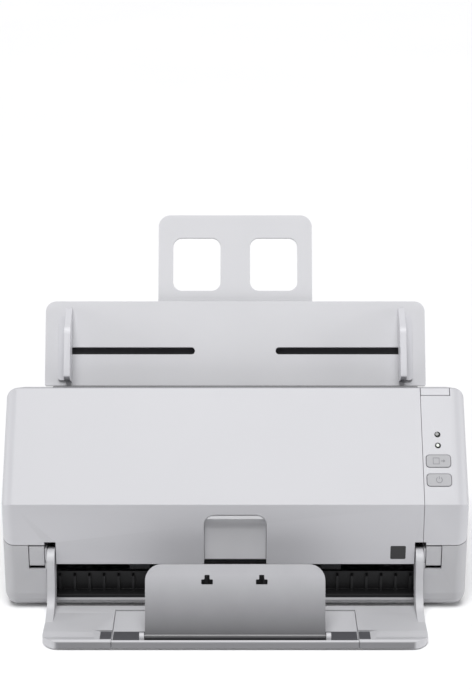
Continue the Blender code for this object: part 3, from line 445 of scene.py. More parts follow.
def moulded(name, colour, roughness, grain=0.10, grain_scale=2600.0, wear=1.10):
    """Moulded plastic: spark-eroded grain, slight cloudiness, and edges rubbed a little lighter."""
    result, tree, shader = node_material(name, roughness)
    clouds = texture(tree, "ShaderNodeTexNoise", 22.0, 4.0)
    base = ramp(tree, clouds.outputs["Fac"], 0.3, 0.7, scaled(colour, 0.975), scaled(colour, 1.02))
    geometry = tree.nodes.new("ShaderNodeNewGeometry")
    edge = ramp(tree, geometry.outputs["Pointiness"], 0.505, 0.56, (0, 0, 0), (1, 1, 1))
    light = ramp(tree, clouds.outputs["Fac"], 0.0, 1.0, scaled(colour, wear), scaled(colour, wear))
    tree.links.new(mixed(tree, edge, base, light), shader.inputs["Base Color"])
    fine = texture(tree, "ShaderNodeTexNoise", grain_scale, 2.0)
    gloss = tree.nodes.new("ShaderNodeMapRange")
    gloss.inputs["To Min"].default_value = roughness - 0.05
    gloss.inputs["To Max"].default_value = roughness + 0.06
    tree.links.new(clouds.outputs["Fac"], gloss.inputs["Value"])
    tree.links.new(gloss.outputs["Result"], shader.inputs["Roughness"])
    add_bump(tree, shader, fine.outputs["Fac"], grain, 0.0002)
    return result


def tray_plastic(name):
    """The tray's plastic, with its narrow front face darkened as painted shade."""
    result = moulded(name, (0.45, 0.45, 0.468), 0.46)
    tree = result.node_tree
    shader = tree.nodes["Principled BSDF"]
    base = shader.inputs["Base Color"].links[0].from_socket
    coordinates = tree.nodes.new("ShaderNodeTexCoord")
    split = tree.nodes.new("ShaderNodeSeparateXYZ")
    tree.links.new(coordinates.outputs["Object"], split.inputs["Vector"])
    front = tree.nodes.new("ShaderNodeMapRange")
    front.inputs["From Min"].default_value = (FRONT + TRAY_FRONT + 0.7) * MM
    front.inputs["From Max"].default_value = (FRONT + TRAY_FRONT + 0.2) * MM
    tree.links.new(split.outputs["Y"], front.inputs["Value"])
    # painted shade: the tray's front face is multiplied darker
    shade = ramp(tree, front.outputs["Result"], 0.0, 1.0, (1, 1, 1), (0.42, 0.42, 0.425))
    tree.links.new(mixed(tree, 1.0, base, shade, "MULTIPLY"), shader.inputs["Base Color"])
    return result


def rubber(name, colour):
    result, tree, shader = node_material(name, 0.8)
    dust = texture(tree, "ShaderNodeTexNoise", 160.0, 5.0)
    base = ramp(tree, dust.outputs["Fac"], 0.35, 0.75, colour, scaled(colour, 1.9))
    tree.links.new(base, shader.inputs["Base Color"])
    ground = texture(tree, "ShaderNodeTexVoronoi", 2200.0)
    add_bump(tree, shader, ground.outputs["Distance"], 0.35, 0.0002)
    return result


def metal(name, colour, roughness, stretch):
    result, tree, shader = node_material(name, roughness, 1.0)
    lines = texture(tree, "ShaderNodeTexNoise", 90.0, 6.0, stretch)
    base = ramp(tree, lines.outputs["Fac"], 0.3, 0.7, scaled(colour, 0.86), scaled(colour, 1.08))
    tree.links.new(base, shader.inputs["Base Color"])
    gloss = tree.nodes.new("ShaderNodeMapRange")
    gloss.inputs["To Min"].default_value = roughness - 0.08
    gloss.inputs["To Max"].default_value = roughness + 0.12
    tree.links.new(lines.outputs["Fac"], gloss.inputs["Value"])
    tree.links.new(gloss.outputs["Result"], shader.inputs["Roughness"])
    add_bump(tree, shader, lines.outputs["Fac"], 0.08, 0.0003)
    return result


def circuit_board(name):
    result, tree, shader = node_material(name, 0.38)
    tracks = texture(tree, "ShaderNodeTexBrick", 190.0)
    tracks.inputs["Color1"].default_value = (0.012, 0.10, 0.035, 1)
    tracks.inputs["Color2"].default_value = (0.016, 0.13, 0.045, 1)
    tracks.inputs["Mortar"].default_value = (0.05, 0.24, 0.08, 1)
    tracks.inputs["Mortar Size"].default_value = 0.012
    tree.links.new(tracks.outputs["Color"], shader.inputs["Base Color"])
    add_bump(tree, shader, tracks.outputs["Fac"], 0.3, 0.0001)
    return result


def clear_glass(name):
    result, tree, shader = node_material(name, 0.05)
    smears = texture(tree, "ShaderNodeTexNoise", 40.0, 3.0)
    base = ramp(tree, smears.outputs["Fac"], 0.3, 0.8, (0.10, 0.13, 0.13), (0.16, 0.20, 0.20))
    tree.links.new(base, shader.inputs["Base Color"])
    gloss = tree.nodes.new("ShaderNodeMapRange")
    gloss.inputs["To Min"].default_value = 0.03
    gloss.inputs["To Max"].default_value = 0.14
    tree.links.new(smears.outputs["Fac"], gloss.inputs["Value"])
    tree.links.new(gloss.outputs["Result"], shader.inputs["Roughness"])
    return result


def grey_flap_painted_shade(name):
    """The stopper's grey plastic, darker towards its foot as painted shade."""
    result, tree, shader = node_material(name, 0.32)
    coordinates = tree.nodes.new("ShaderNodeTexCoord")
    split = tree.nodes.new("ShaderNodeSeparateXYZ")
    tree.links.new(coordinates.outputs["Object"], split.inputs["Vector"])
    height = tree.nodes.new("ShaderNodeMapRange")
    height.inputs["From Min"].default_value = STOPPER_HINGE[1] * MM
    height.inputs["From Max"].default_value = (STOPPER_HINGE[1] + STOPPER_LENGTH) * MM
    tree.links.new(split.outputs["Z"], height.inputs["Value"])
    # painted shade: the grey darkens from the top of the stopper down to its foot
    base = ramp(tree, height.outputs["Result"], 0.0, 0.8, (0.105, 0.105, 0.11), (0.43, 0.43, 0.45))
    clouds = texture(tree, "ShaderNodeTexNoise", 60.0, 3.0)
    haze = ramp(tree, clouds.outputs["Fac"], 0.3, 0.7, (0.95, 0.95, 0.95), (1, 1, 1))
    tree.links.new(mixed(tree, 1.0, base, haze, "MULTIPLY"), shader.inputs["Base Color"])
    fine = texture(tree, "ShaderNodeTexNoise", 2600.0, 2.0)
    add_bump(tree, shader, fine.outputs["Fac"], 0.05, 0.0002)
    return result


LOOKS = {
    "housing": moulded("housing_plastic", (0.462, 0.462, 0.484), 0.46),
    # the housing's grey darkened as painted shade, for the base, rear housing, rear panel and hinge arms
    "lower": moulded("housing_plastic_painted_shade", (0.385, 0.385, 0.40), 0.46),
    "chute": moulded("chute_plastic", (0.54, 0.54, 0.56), 0.46),
    "tray": tray_plastic("tray_plastic"),
    "guide": moulded("guide_plastic", (0.52, 0.52, 0.545), 0.42),
    "key": moulded("key_plastic", (0.335, 0.335, 0.35), 0.5, 0.16, 1500.0),
    # the housing's grey lightened as painted light, to offset the shade inside the finger recess
    "recess": moulded("recess_plastic_painted_light", (0.66, 0.66, 0.68), 0.45),
    "dark": moulded("dark_plastic", (0.045, 0.045, 0.05), 0.45, 0.12, 2200.0, 1.5),
    "stopper": grey_flap_painted_shade("stopper_plastic_painted_shade"),
    "black": moulded("black_plastic", (0.012, 0.012, 0.013), 0.4, 0.12, 2200.0, 1.8),
    "rubber": rubber("ground_rubber", (0.022, 0.022, 0.024)),
    "steel": metal("zinc_plated_steel", (0.62, 0.62, 0.63), 0.34, (1.0, 14.0, 14.0)),
    "nylon": moulded("acetal", (0.74, 0.73, 0.68), 0.4, 0.05, 1800.0, 1.05),
    "board": circuit_board("solder_mask"),
    "glass": clear_glass("sensor_glass"),
    "lamp": moulded("lamp_lens", (0.03, 0.032, 0.03), 0.12, 0.02, 3000.0, 1.3),
    "lamp_lit": moulded("lamp_core", (0.62, 0.66, 0.60), 0.2, 0.02, 3000.0, 1.0),
    "icon": moulded("printed_icon", (0.20, 0.20, 0.215), 0.5, 0.05, 2600.0, 1.0),
    "sticker": moulded("plain_sticker", (0.016, 0.016, 0.017), 0.3, 0.02, 2600.0, 1.0),
}


# ---------------------------------------------------------------- the body's mouldings

def body_solid(skin):
    """The whole body, its skin moved inwards, with softly rounded ends."""
    sharp = [(y, z) for y, z, _radius in BODY_PROFILE]
    rings = []
    for side in (-1, 1):
        half = []
        for i in range(END_STEPS + 1):
            c, s = unit(90 * i / END_STEPS)
            back, inward = END_RADIUS * (1 - s), END_RADIUS * (1 - c)
            x = side * (HALF_WIDTH - skin - back)
            radii = [max(radius - skin - inward * 0.5, LEAST_RADIUS) for _y, _z, radius in BODY_PROFILE]
            outline = filleted(inset(sharp, min(skin + inward, INSET_MOST)), radii, 5)
            half.append([(x, y, z) for y, z in outline])
        rings += half[::-1] if side < 0 else half
    return loft("body", rings)


def body_shell():
    return cut(body_solid(0.0), body_solid(WALL))


def split_region(above, x0, x1):
    """Everything above or below the line between the front unit and the base."""
    line = offset_line(SPLIT_LINE, GAP if above else -GAP)
    first, last = line[0], line[-1]
    rise = (last[1] - line[1][1]) / (last[0] - line[1][0])
    far = (last[0] + 10, last[1] + 10 * rise)
    if above:
        first_rise = (SPLIT_LINE[1][1] - SPLIT_LINE[0][1]) / (SPLIT_LINE[1][0] - SPLIT_LINE[0][0])
        outline = [(PAST_FRONT, first[1] + PAST_FRONT * first_rise)] + line + [far, (PAST_FRONT, far[1])]
    else:
        outline = [(PAST_FRONT, first[1])] + line
        outline += [far, (PAST_SIDE, far[1]), (PAST_SIDE, -5), (PAST_FRONT, -5)]
    return prism("region", outline, x0, x1)


def split_deck(above, x0, x1):
    """The wall that closes a moulding along the split line."""
    sign = 1 if above else -1
    near = offset_line(SPLIT_LINE, sign * (GAP + 0.15))
    deep = offset_line(SPLIT_LINE, sign * (GAP + 2.0))
    return common(prism("deck", near + deep[::-1], x0, x1), body_solid(WALL / 2))


def notch(obj, x0, x1, top):
    """An opening in the lower edge of the band."""
    return cut(obj, box("notch", (x0, x1), (-2, 9), (30, top)))


def neck_space(obj, x0, x1):
    """Room for the neck of a hinge arm."""
    return cut(obj, box("space", (x0, x1), (2.9, 10.6), (40, 60)))


def front_cover():
    cover = body_shell()
    region = box("region", (-CENTRE_HALF, COLUMN_X - GAP), (PAST_FRONT, COVER_BACK), (BAND_BOTTOM, PAST_TOP))
    common(cover, join(region, split_region(True, -PAST_SIDE, -CENTRE_HALF + 0.5)))
    join(cover, split_deck(True, DECK_INSET - HALF_WIDTH, -CENTRE_HALF - 0.8))
    neck_space(cover, -EAR_X[1] - EAR_GAP, -121.8)
    block = 1.8 + RECESS_HALF
    join(cover, box("pocket", (-block, block), (0.7, 7.6), (BAND_BOTTOM + 0.3, RECESS_TOP + 1.8)))
    cut(cover, recess_opening(0, 7, -2, RECESS_DEPTH))
    notch(cover, -ARM_NOTCH_X[1], -ARM_NOTCH_X[0], ARM_NOTCH_TOP)
    notch(cover, *ARM_NOTCH_X, ARM_NOTCH_TOP)
    notch(cover, -EAR_X[1] - EAR_GAP, -CENTRE_HALF, EAR_NOTCH_TOP)
    piece(cover, "front_cover_fine", LOOKS["housing"], "front_unit",
          ["front_cover", "front_lip"])


def recess_opening(gap, radius, y0, y1):
    """The finger recess's outline, with round upper corners, run from front to back."""
    half, top = RECESS_HALF - gap, RECESS_TOP - 1.2 * gap
    corners = [(-half, RECESS_LOW), (half, RECESS_LOW), (half, top), (-half, top)]
    return along_y("recess", filleted(corners, [0, 0, radius, radius]), y0, y1)


def finger_recess_liner():
    back = RECESS_DEPTH - 0.15
    scoop = arc((-6, 55), 11.4, 68, 0, 8) + [(5.4, 34), (back, 34), (back, 66.8), (-1.0, 66.8)]
    half = RECESS_HALF - LINER_GAP
    liner = prism("liner", scoop, -half, half)
    common(liner, recess_opening(LINER_GAP, 6.8, 0.35, 9))
    # the liner's look is lightened as painted light against the recess's shade
    piece(liner, "finger_recess_liner", LOOKS["recess"], "front_unit", (), 0.15)


def operator_panel():
    panel = common(body_shell(), split_region(True, COLUMN_X, PAST_SIDE))
    join(panel, split_deck(True, COLUMN_X + 2.2, HALF_WIDTH - DECK_INSET))
    neck_space(panel, 121.8, EAR_X[1] + EAR_GAP)
    notch(panel, CENTRE_HALF - 4, EAR_X[1] + EAR_GAP, EAR_NOTCH_TOP)
    notch(panel, COLUMN_X - 1, ARM_NOTCH_X[1], ARM_NOTCH_TOP)
    for v in BUTTONS.values():
        cut(panel, plate("hole", button_outline(v, BUTTON_GAP, BUTTON_GAP, 2.3, 6), on_slope, -6, 4))
    for v in LAMPS.values():
        outline = [(LAMP_X + y, v + z) for y, z in circle(LAMP_RADIUS + 0.25, 24)]
        cut(panel, plate("hole", outline, on_slope, -6, 4))
    start = LEVER_START - LEVER_GAP
    space = [on_slope(start, -12), on_slope(start, 6), (REAR_SPLIT_Y, PAST_TOP), (REAR_SPLIT_Y, 118)]
    cut(panel, prism("space", space, LEVER_X[0] - 1, LEVER_X[1] + LEVER_GAP))
    piece(panel, "operator_panel_fine", LOOKS["housing"], "front_unit", ["operator_panel"])


def release_lever():
    lever = body_shell()
    part = [on_slope(LEVER_START, -8), on_slope(LEVER_START, 4), (COVER_BACK, 145), (COVER_BACK, 126)]
    common(lever, prism("region", part, LEVER_X[0] + 0.15, LEVER_X[1]))
    stem = [(53.5, 132.4), *arc(LEVER_PIVOT, 2.8, 160, 330, 12), (59.5, 130.2)]
    join(lever, prism("stem", stem, 128, 134), rod("pin", LEVER_PIVOT, 1.5, 124, 138, 24))
    piece(lever, "release_lever_fine", LOOKS["housing"], "release_lever", ["release_lever"])


def side_tower(base, mark):
    """What one end of the base has: deck, hinge pocket with its lug, and the tray's bearing."""
    deck = split_deck(False, *side_by_side(mark, CENTRE_HALF + 0.2, HALF_WIDTH - DECK_INSET))
    join(base, cut(deck, box("trim", (-PAST_SIDE, PAST_SIDE), (PAST_FRONT, 12.5), (30, 60))))
    cut(base, box("pocket", side_by_side(mark, 120.0, EAR_X[1] + EAR_GAP), (-3, 14.2), (29.3, 60)))
    lug = [(0.8, 31), (5.5, 31)] + arc(HINGE, 5.0, -90, 60, 14) + [(4.5, 42.6), (2.0, 42.4), (0.8, 41.2)]
    join(base, prism("lug", lug, *side_by_side(mark, 132.7, 136.0)))
    cut(base, rod("bore", HINGE, 2.0, *side_by_side(mark, 132, 137), 24))
    join(base, prism("web", CAVITY_SIDE, *side_by_side(mark, 120.6, 121.9)))
    cut(base, rod("bearing", TRAY_HINGE, 2.4, *side_by_side(mark, 120.0, 122.0), 24))


def base_housing():
    """The lower shell and its two side towers, open in the middle for the paper's path."""
    region = split_region(False, -PAST_SIDE, PAST_SIDE)
    middle = (-CENTRE_HALF - 0.2, CENTRE_HALF + 0.2)
    cut(region, box("path", middle, (PAST_FRONT, 110), (28.4, FAR)))
    cut(region, box("exit", middle, (PAST_FRONT, 20), (6.8, FAR)))
    cut(region, box("rear", (-PAST_SIDE, PAST_SIDE), (REAR_SPLIT_Y - GAP, FAR), (REAR_SPLIT_Z - GAP, FAR)))
    cut(region, box("bottom", (-132, 132), (20, 128), (-5, 9)))
    base = common(body_shell(), region)
    for mark in (-1, 1):
        side_tower(base, mark)
    side = REAR_PANEL_HALF + GAP
    cut(base, box("back", (-side, side), (128, 140), (REAR_SILL, 60)))
    piece(base, "base_housing_fine", LOOKS["lower"], "base", ["base_housing"])


def rear_housing():
    region = box("region", (-PAST_SIDE, PAST_SIDE), (REAR_SPLIT_Y, FAR), (REAR_SPLIT_Z, FAR))
    rear = common(body_shell(), region)
    slot = EXTENSION_WIDTH + 2.5
    cut(rear, box("slot", (-slot, slot), (80, 98), (115, 140)))
    piece(rear, "rear_housing_fine", LOOKS["lower"], "base", ["rear_housing"])


def rear_panel():
    heights = (REAR_SILL + GAP, REAR_SPLIT_Z - GAP)
    panel = common(body_shell(), box("region", (-REAR_PANEL_HALF, REAR_PANEL_HALF), (120, 140), heights))
    (usb_x, usb_z), (power_x, power_z) = USB_SOCKET, POWER_INLET
    half_width, half_height = USB_HALF
    hole = rectangle(usb_x - half_width, usb_x + half_width, usb_z - half_height, usb_z + half_height, 0.8)
    cut(panel, along_y("hole", hole, 130, 140))
    cut(panel, along_y("hole", [(power_x + x, power_z + z) for x, z in circle(POWER_RADIUS, 72)], 130, 140))
    piece(panel, "rear_panel_fine", LOOKS["lower"], "base", ["rear_panel"])


def seam_shadow_strips():
    """Black strips deep in the gap between the front unit and the base, beside the hinge ears, as painted
    shadow of the gap.
    """
    line = offset_line(SPLIT_LINE, -GAP - 0.2)[:2]
    run = math.hypot(line[1][0] - line[0][0], line[1][1] - line[0][1])
    along = ((line[1][0] - line[0][0]) / run, (line[1][1] - line[0][1]) / run)
    start, end, thick = 0.5, 6, 0.42
    outline = [(line[0][0] + d * along[0] - n * along[1], line[0][1] + d * along[1] + n * along[0])
               for d, n in ((start, 0), (end, 0), (end, thick), (start, thick))]
    for mark, name in ((-1, "left"), (1, "right")):
        strip = prism("strip", outline, *side_by_side(mark, EAR_X[1] + 1.0, HALF_WIDTH))
        common(strip, body_solid(0.5))
        piece(strip, "seam_shadow_strip_" + name, LOOKS["black"], "base", (), 0)


def hinge_arms():
    for mark, name in ((-1, "left"), (1, "right")):
        xs = side_by_side(mark, *EAR_X)
        ear = arc(HINGE, 7.5, -132, 60, 24) + [(9.2, EAR_TOP), (0.3, EAR_TOP), (0.3, 32.4)]
        arm = join(prism("arm", ear, *xs), box("neck", xs, (3.2, 10.2), (41, 66)))
        cut(arm, rod("bore", HINGE, 2.3, xs[0] - 1, xs[1] + 1, 24))
        piece(arm, f"hinge_arm_{name}_fine", LOOKS["lower"], "front_unit",
              ["hinge_arm_" + name], 0.35)


# ---------------------------------------------------------------- stacker

def tray_arm(tray, mark):
    """One arm with its round boss, the tray's rounded corner beside it, and its hinge pin."""
    xs = side_by_side(mark, *ARM_X)
    lower = [(-6.4, 25), (-8.4, 15), (-14, 8.5), (-25, 5), (-30, 2.4), (-2.0, 1.4), (3.6, 15)]
    boss = arc(TRAY_HINGE, BOSS_RADIUS, -60, 165, 28)
    join(tray, prism("arm", filleted(boss + lower, [0] * len(boss) + [6, 14, 12, 10, 0, 1, 8], 5), *xs))
    half, radius = ARM_X[1], TRAY_CORNER
    corner = [(mark * (half + 1), TRAY_FRONT - 1)] + [
        (mark * (half - radius + radius * c), TRAY_FRONT + radius - radius * s)
        for c, s in map(unit, range(90, -1, -10))]
    cut(tray, loft("corner", [[(x, y, z) for x, y in corner] for z in (-1, 9)]))
    join(tray, rod("pin", TRAY_HINGE, 2.0, *side_by_side(mark, 119.0, 121.7), 24))


def stacker_tray():
    half = ARM_X[1]
    points = [(-2.0, 1.2), (-2.0, 4.6), (-12, 4.4), (-38, 5.2), (-44, 4.6), (TRAY_FRONT + 2, 6.8),
              (TRAY_FRONT, 5.6), (TRAY_FRONT, 1.6), (TRAY_FRONT + 1, 0.8), (-12, 0.8)]
    tray = prism("tray", filleted(points, [0.4, 1.2, 12, 12, 5, 1.4, 1.2, 0.8, 0.6, 0], 4), -half, half)
    for mark in (-1, 1):
        tray_arm(tray, mark)
    e = EXTENSION_HALF + 0.4
    cut(tray, box("opening", (-e, e), (TRAY_FRONT - 5, NOSE_BACK), (-1, 12)))
    cut(tray, box("channel", (-e, e), (TRAY_FRONT - 5, -8), (2.0, 12)))
    side, back = POCKET_HALF + 16, (TRAY_FRONT + 2.8, POCKET_BACK)
    pocket = [[(-side, y, 8.0), (side, y, 8.0), (POCKET_HALF, y, 3.9), (-POCKET_HALF, y, 3.9)] for y in back]
    cut(tray, loft("pocket", pocket))
    piece(tray, "stacker_tray_fine", LOOKS["tray"], "stacker_tray", ["stacker_tray"], 0.45, 3)
    for mark, name in ((-1, "left"), (1, "right")):
        insert = box("insert", side_by_side(mark, EXTENSION_HALF + 0.7, POCKET_HALF - 0.2),
                     (TRAY_FRONT + 3.1, POCKET_BACK - 0.3), INSERT_Z)
        piece(insert, "tray_insert_" + name, LOOKS["dark"], "stacker_tray", (), 0.12)


def stacker_extension():
    e = EXTENSION_HALF
    slide = prism("slide", [(-9, 2.4), (-9, 4.0), (NOSE_BACK - 0.4, 4.0), (NOSE_BACK - 0.4, 2.4)], -e, e)
    nose = [(NOSE_BACK, 3.9), (-43, 3.9), (-49.6, 3.9), (TRAY_FRONT + 2, 6.8), (TRAY_FRONT, 5.6),
            (TRAY_FRONT, 1.6), (TRAY_FRONT + 1, 0.8), (NOSE_BACK, 0.8)]
    join(slide, prism("nose", filleted(nose, [0, 0, 0.5, 1.4, 1.2, 0.8, 0.6, 0], 4), -e, e))
    hinge_y = STOPPER_HINGE[0]
    for mark in (-1, 1):
        ear = [(hinge_y - 2.6, 4.0), (hinge_y + 2.6, 4.0)] + arc(STOPPER_HINGE, 2.4, 0, 180, 14)
        join(slide, prism("ear", ear, *side_by_side(mark, STOPPER_HALF + 0.5, STOPPER_HALF + 3.5)))
    cut(slide, rod("bore", STOPPER_HINGE, 1.3, -62, 62, 20))
    piece(slide, "stacker_extension_fine", LOOKS["tray"], "stacker_extension",
          ["stacker_extension"], 0.3, 2)
    floor = box("floor", (0.4 - e, e - 0.4), (TRAY_FRONT + 3.6, POCKET_BACK - 0.3), INSERT_Z)
    piece(floor, "extension_floor", LOOKS["dark"], "stacker_extension", (), 0.08)


def stopper():
    half = STOPPER_HALF
    corners = [(-half, 0), (half, 0), (half, STOPPER_LENGTH), (-half, STOPPER_LENGTH)]
    flap = plate("flap", filleted(corners, [0, 0, 10, 10], 10), on_stopper, -1.1, 1.1)
    foot, shoulder, head = 32, 35.2, 38
    for x in STOPPER_HOLES:
        tab = [(x - 3.6, foot), (x + 3.6, foot), (x + 3.6, shoulder), (x + 1.6, shoulder),
               (x + 1.6, head), (x - 1.6, head), (x - 1.6, shoulder), (x - 3.6, shoulder)]
        cut(flap, plate("hole", filleted(tab, [0.5] * 8, 3), on_stopper, -3, 3))
    join(flap, rod("barrel", STOPPER_HINGE, 1.7, -half, half, 32))
    join(flap, rod("pin", STOPPER_HINGE, 1.0, -half - 3, half + 3, 20))
    piece(flap, "stopper_fine", LOOKS["stopper"], "stopper", ["stopper"], 0.4, 3)


# ---------------------------------------------------------------- chute and side guides

def chute():
    half = CHUTE_HALF
    corners = [(half, CHUTE_TOP), (-half, CHUTE_TOP), (-half, CHUTE_LOW), (half, CHUTE_LOW)]
    sheet = plate("chute", filleted(corners, [7, 7, 1, 1], 8), on_chute, CHUTE_BACK, CHUTE_FACE)
    for mark in (-1, 1):
        xs = side_by_side(mark, GUIDE_INNER - GUIDE_TRAVEL - 4, GUIDE_INNER + 5.6)
        slot = rectangle(*xs, SLOT_U - SLOT_HALF, SLOT_U + SLOT_HALF, 2.3, 8)
        cut(sheet, plate("slot", slot, on_chute, CHUTE_BACK - 1, CHUTE_FACE + 1))
        near, far, lip = (mark * (EXTENSION_WIDTH + d) for d in (0.4, 3.4, -3.2))
        top, low, hollow = CHUTE_BACK + 0.6, -12.6, -10.8
        hook = [(near, top), (far, top), (far, low), (lip, low), (lip, hollow), (near, hollow)]
        join(sheet, loft("rail", [[(x, *on_chute(u, n)) for x, n in hook] for u in (27.5, CHUTE_TOP - 6.2)]))
    piece(sheet, "chute_fine", LOOKS["chute"], "base", ["chute"], 0.5, 3)


def rack_cover():
    """A dark plate behind the guide slots, held by four posts."""
    cover = plate("cover", rectangle(-118, 118, 2.5, 27.0, 2.5), on_chute, -8.05, -7.5)
    for x in (-116.3, 116.3):
        for u in (5.0, 24.4):
            post = [(x + a, u + b) for a, b in circle(1.3, 24)]
            join(cover, plate("post", post, on_chute, -7.8, CHUTE_BACK - 0.05))
    piece(cover, "rack_cover", LOOKS["dark"], "base", (), 0.15)


def chute_extension():
    outline = rectangle(-EXTENSION_WIDTH, EXTENSION_WIDTH, *EXTENSION_U, 8, 10)
    support = plate("support", outline, on_chute, -10.4, -8.4)
    for x in (-26, 26):
        cut(support, plate("window", rectangle(x - 16, x + 16, 56, 92, 6, 8), on_chute, -14, -6))
    piece(support, "chute_extension_fine", LOOKS["chute"], "chute_extension",
          ["chute_extension"], 0.45, 3)


def guide_slab(name, mark, outline, x0, x1):
    """An outline across the chute, from one distance from the middle to another."""
    return loft(name, [[(mark * x, *on_chute(u, n)) for u, n in outline] for x in (x0, x1)])


def side_guides():
    outer = [(GUIDE_LOW, -0.8), (GUIDE_HIGH, -0.8), (GUIDE_HIGH, 2.0), (GUIDE_HIGH - 16, GUIDE_HEIGHT),
             (GUIDE_LOW + 2, GUIDE_HEIGHT), (GUIDE_LOW, GUIDE_HEIGHT - 3)]
    inner = [(GUIDE_LOW + 3, 1.8), (GUIDE_HIGH - 6, 1.8), (GUIDE_HIGH - 18, GUIDE_HEIGHT - 2.2),
             (GUIDE_LOW + 3, GUIDE_HEIGHT - 2.2)]
    profile = filleted(outer, [0.4, 0.4, 1.5, 9, 1.5, 1.5], 8)
    near, far = GUIDE_INNER, GUIDE_INNER + GUIDE_WIDTH
    for mark, name in ((-1, "left"), (1, "right")):
        body = "side_guide_" + name
        fence = guide_slab("fence", mark, profile, near, far)
        cut(fence, guide_slab("hollow", mark, inner, near + 1.5, far + 2))
        foot = rectangle(*side_by_side(mark, near + 0.3, near + 9), GUIDE_LOW + 1, 37, 2)
        join(fence, plate("foot", foot, on_chute, -0.7, 0.9))
        stalk = rectangle(*side_by_side(mark, near + 0.6, near + 4.6), SLOT_U - 1.9, SLOT_U + 1.9)
        join(fence, plate("stalk", stalk, on_chute, CHUTE_BACK - 0.4, 0.5))
        piece(fence, body + "_fine", LOOKS["guide"], body, [body], 0.35, 2)


# ---------------------------------------------------------------- controls

def button_outline(v, more_x, more_u, radius, steps):
    """A button's outline on the panel, larger by the given distances."""
    x, u = BUTTON_SIZE[0] / 2 + more_x, BUTTON_SIZE[1] / 2 + more_u
    return rectangle(BUTTON_X - x, BUTTON_X + x, v - u, v + u, radius, steps)


def buttons():
    for name, v in BUTTONS.items():
        key = plate(name, button_outline(v, 0, 0, 2.0, 8), on_slope, -5.3, 0.5)
        join(key, plate("flange", button_outline(v, 1.2, 0.9, 1, 6), on_slope, -6.4, -5.0))
        stem = rectangle(BUTTON_X - 2, BUTTON_X + 2, v - 2, v + 2, 0.5)
        join(key, plate("stem", stem, on_slope, -9.2, -6.0))
        piece(key, name + "_fine", LOOKS["key"], name, [name], 0.4, 3)


def icon(name, outlines, v, body):
    """A printed mark standing a little proud of a button's face."""
    for index, outline in enumerate(outlines):
        mark = plate("mark", [(BUTTON_X + x, v + u) for x, u in outline], on_slope, 0.42, 0.58)
        piece(mark, f"{name}_{index}", LOOKS["icon"], body, (), 0)


def ring_sector(radius, width, start, end, steps=20):
    outer = arc((0, 0), radius + width / 2, start, end, steps)
    inner = arc((0, 0), radius - width / 2, end, start, steps)
    return outer + inner


def icons():
    """A sheet with an arrow on one button, and the usual power sign on the other."""
    left, right, half, line = -3.6, 0.6, 2.2, 0.4
    sheet = [rectangle(left, right, -half, line - half), rectangle(left, right, half - line, half),
             rectangle(left, left + line, line - half, half - line),
             rectangle(right - line, right, line - half, half - line)]
    arrow = [[(1.6, -0.25), (3.0, -0.25), (3.0, -1.1), (4.4, 0), (3.0, 1.1), (3.0, 0.25), (1.6, 0.25)]]
    icon("scan_mark", sheet + arrow, BUTTONS["scan_button"], "scan_button")
    power = [ring_sector(1.9, 0.45, 125, 415), rectangle(-0.22, 0.22, 0.5, 2.5)]
    icon("power_mark", power, BUTTONS["power_button"], "power_button")


def lens(name, v, levels, sides):
    """A round lens on the panel, from pairs of height and radius."""
    return loft(name, [[(LAMP_X + x, *on_slope(v + u, n)) for x, u in circle(radius, sides)]
                       for n, radius in levels])


def lamps():
    levels = ((-3.4, LAMP_RADIUS), (0.0, LAMP_RADIUS), (0.14, 1.45), (0.2, 0.9), (0.2, 0.2))
    for name, v in LAMPS.items():
        piece(lens(name, v, levels, 32), name + "_fine", LOOKS["lamp"], "front_unit", [name], 0)
    core = lens("core", LAMPS["power_lamp"], ((0.1, 0.95), (0.26, 0.9), (0.32, 0.5)), 24)
    piece(core, "power_lamp_core", LOOKS["lamp_lit"], "front_unit", (), 0)


def plain_sticker():
    """A blank dark square on the band."""
    label = along_y("label", rectangle(99.2, 109.0, 36.6, 45.8, 0.8, 4), -0.06, 0.06)
    piece(label, "plain_dark_sticker", LOOKS["sticker"], "front_unit", (), 0)


# ---------------------------------------------------------------- carried-over parts

def dress_inner_parts():
    """CAD nodes that stay: their slot's material, and fine bevels on their edges."""
    slots = {entry["node"]: entry["material_slot"] for entry in frame["record"]["subparts"]}
    for name, obj in frame["nodes"].items():
        if obj.hide_render:
            continue
        obj.data.materials.clear()
        obj.data.materials.append(LOOKS[slots[name]])
        weld = obj.modifiers.new("weld", "WELD")
        weld.merge_threshold = INNER_WELD * MM
        bevel = obj.modifiers.new("edges", "BEVEL")
        bevel.width = INNER_BEVEL * MM
        bevel.segments = 2
        bevel.limit_method = "ANGLE"
        bevel.angle_limit = math.radians(40)


# ---------------------------------------------------------------- stage

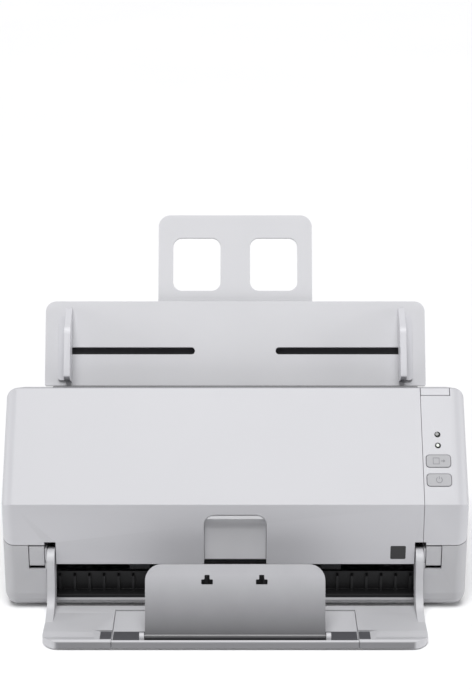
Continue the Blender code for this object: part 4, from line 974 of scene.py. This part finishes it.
def pale_floor():
    side, back = 4000, 6000
    corners = [(-side, -side, 0), (side, -side, 0), (side, back, 0), (-side, back, 0)]
    floor = make("floor", corners, [(0, 1, 2, 3)])
    look, tree, shader = node_material("pale_floor", 0.75)
    clouds = texture(tree, "ShaderNodeTexNoise", 3.0, 2.0)
    shade = ramp(tree, clouds.outputs["Fac"], 0.2, 0.8, (0.885, 0.885, 0.89), (0.90, 0.90, 0.905))
    tree.links.new(shade, shader.inputs["Base Color"])
    floor.data.materials.append(look)


def studio_light():
    """A white surround, a broad soft key from above, and a rim from each side."""
    sky = bpy.data.worlds.new("studio")
    bpy.context.scene.world = sky
    sky.use_nodes = True
    background = sky.node_tree.nodes["Background"]
    background.inputs["Color"].default_value = (0.985, 0.99, 1.0, 1)
    background.inputs["Strength"].default_value = 0.26
    for name, energy, softness, aim in (
        ("key_light", 2.75, 34, (0.04, 0.42, -1.0)),
        ("left_rim", 1.3, 25, (1.0, 0.08, -0.12)),
        ("right_rim", 1.5, 25, (-1.0, 0.08, -0.12)),
    ):
        lamp = bpy.data.lights.new(name, "SUN")
        lamp.energy = energy
        lamp.angle = math.radians(softness)
        light = bpy.data.objects.new(name, lamp)
        light.rotation_euler = Vector(aim).to_track_quat("-Z", "Y").to_euler()
        bpy.context.scene.collection.objects.link(light)


def front_camera():
    c, s = unit(CAMERA_ELEVATION)
    aim_x, aim_y, aim_z = CAMERA_AIM
    data = bpy.data.cameras.new("camera")
    data.sensor_fit = "VERTICAL"
    data.sensor_height = 36.0
    data.lens = CAMERA_LENS
    camera = bpy.data.objects.new("camera", data)
    camera.location = world(aim_x, aim_y - CAMERA_DISTANCE * c, aim_z + CAMERA_DISTANCE * s)
    camera.rotation_euler = (math.radians(90 - CAMERA_ELEVATION), 0, 0)
    bpy.context.scene.collection.objects.link(camera)
    bpy.context.scene.camera = camera
    bpy.context.scene.view_settings.view_transform = "Standard"


pale_floor()
studio_light()
front_camera()
front_cover()
finger_recess_liner()
operator_panel()
release_lever()
base_housing()
rear_housing()
rear_panel()
seam_shadow_strips()
hinge_arms()
stacker_tray()
stacker_extension()
stopper()
chute()
rack_cover()
chute_extension()
side_guides()
buttons()
icons()
lamps()
plain_sticker()
dress_inner_parts()
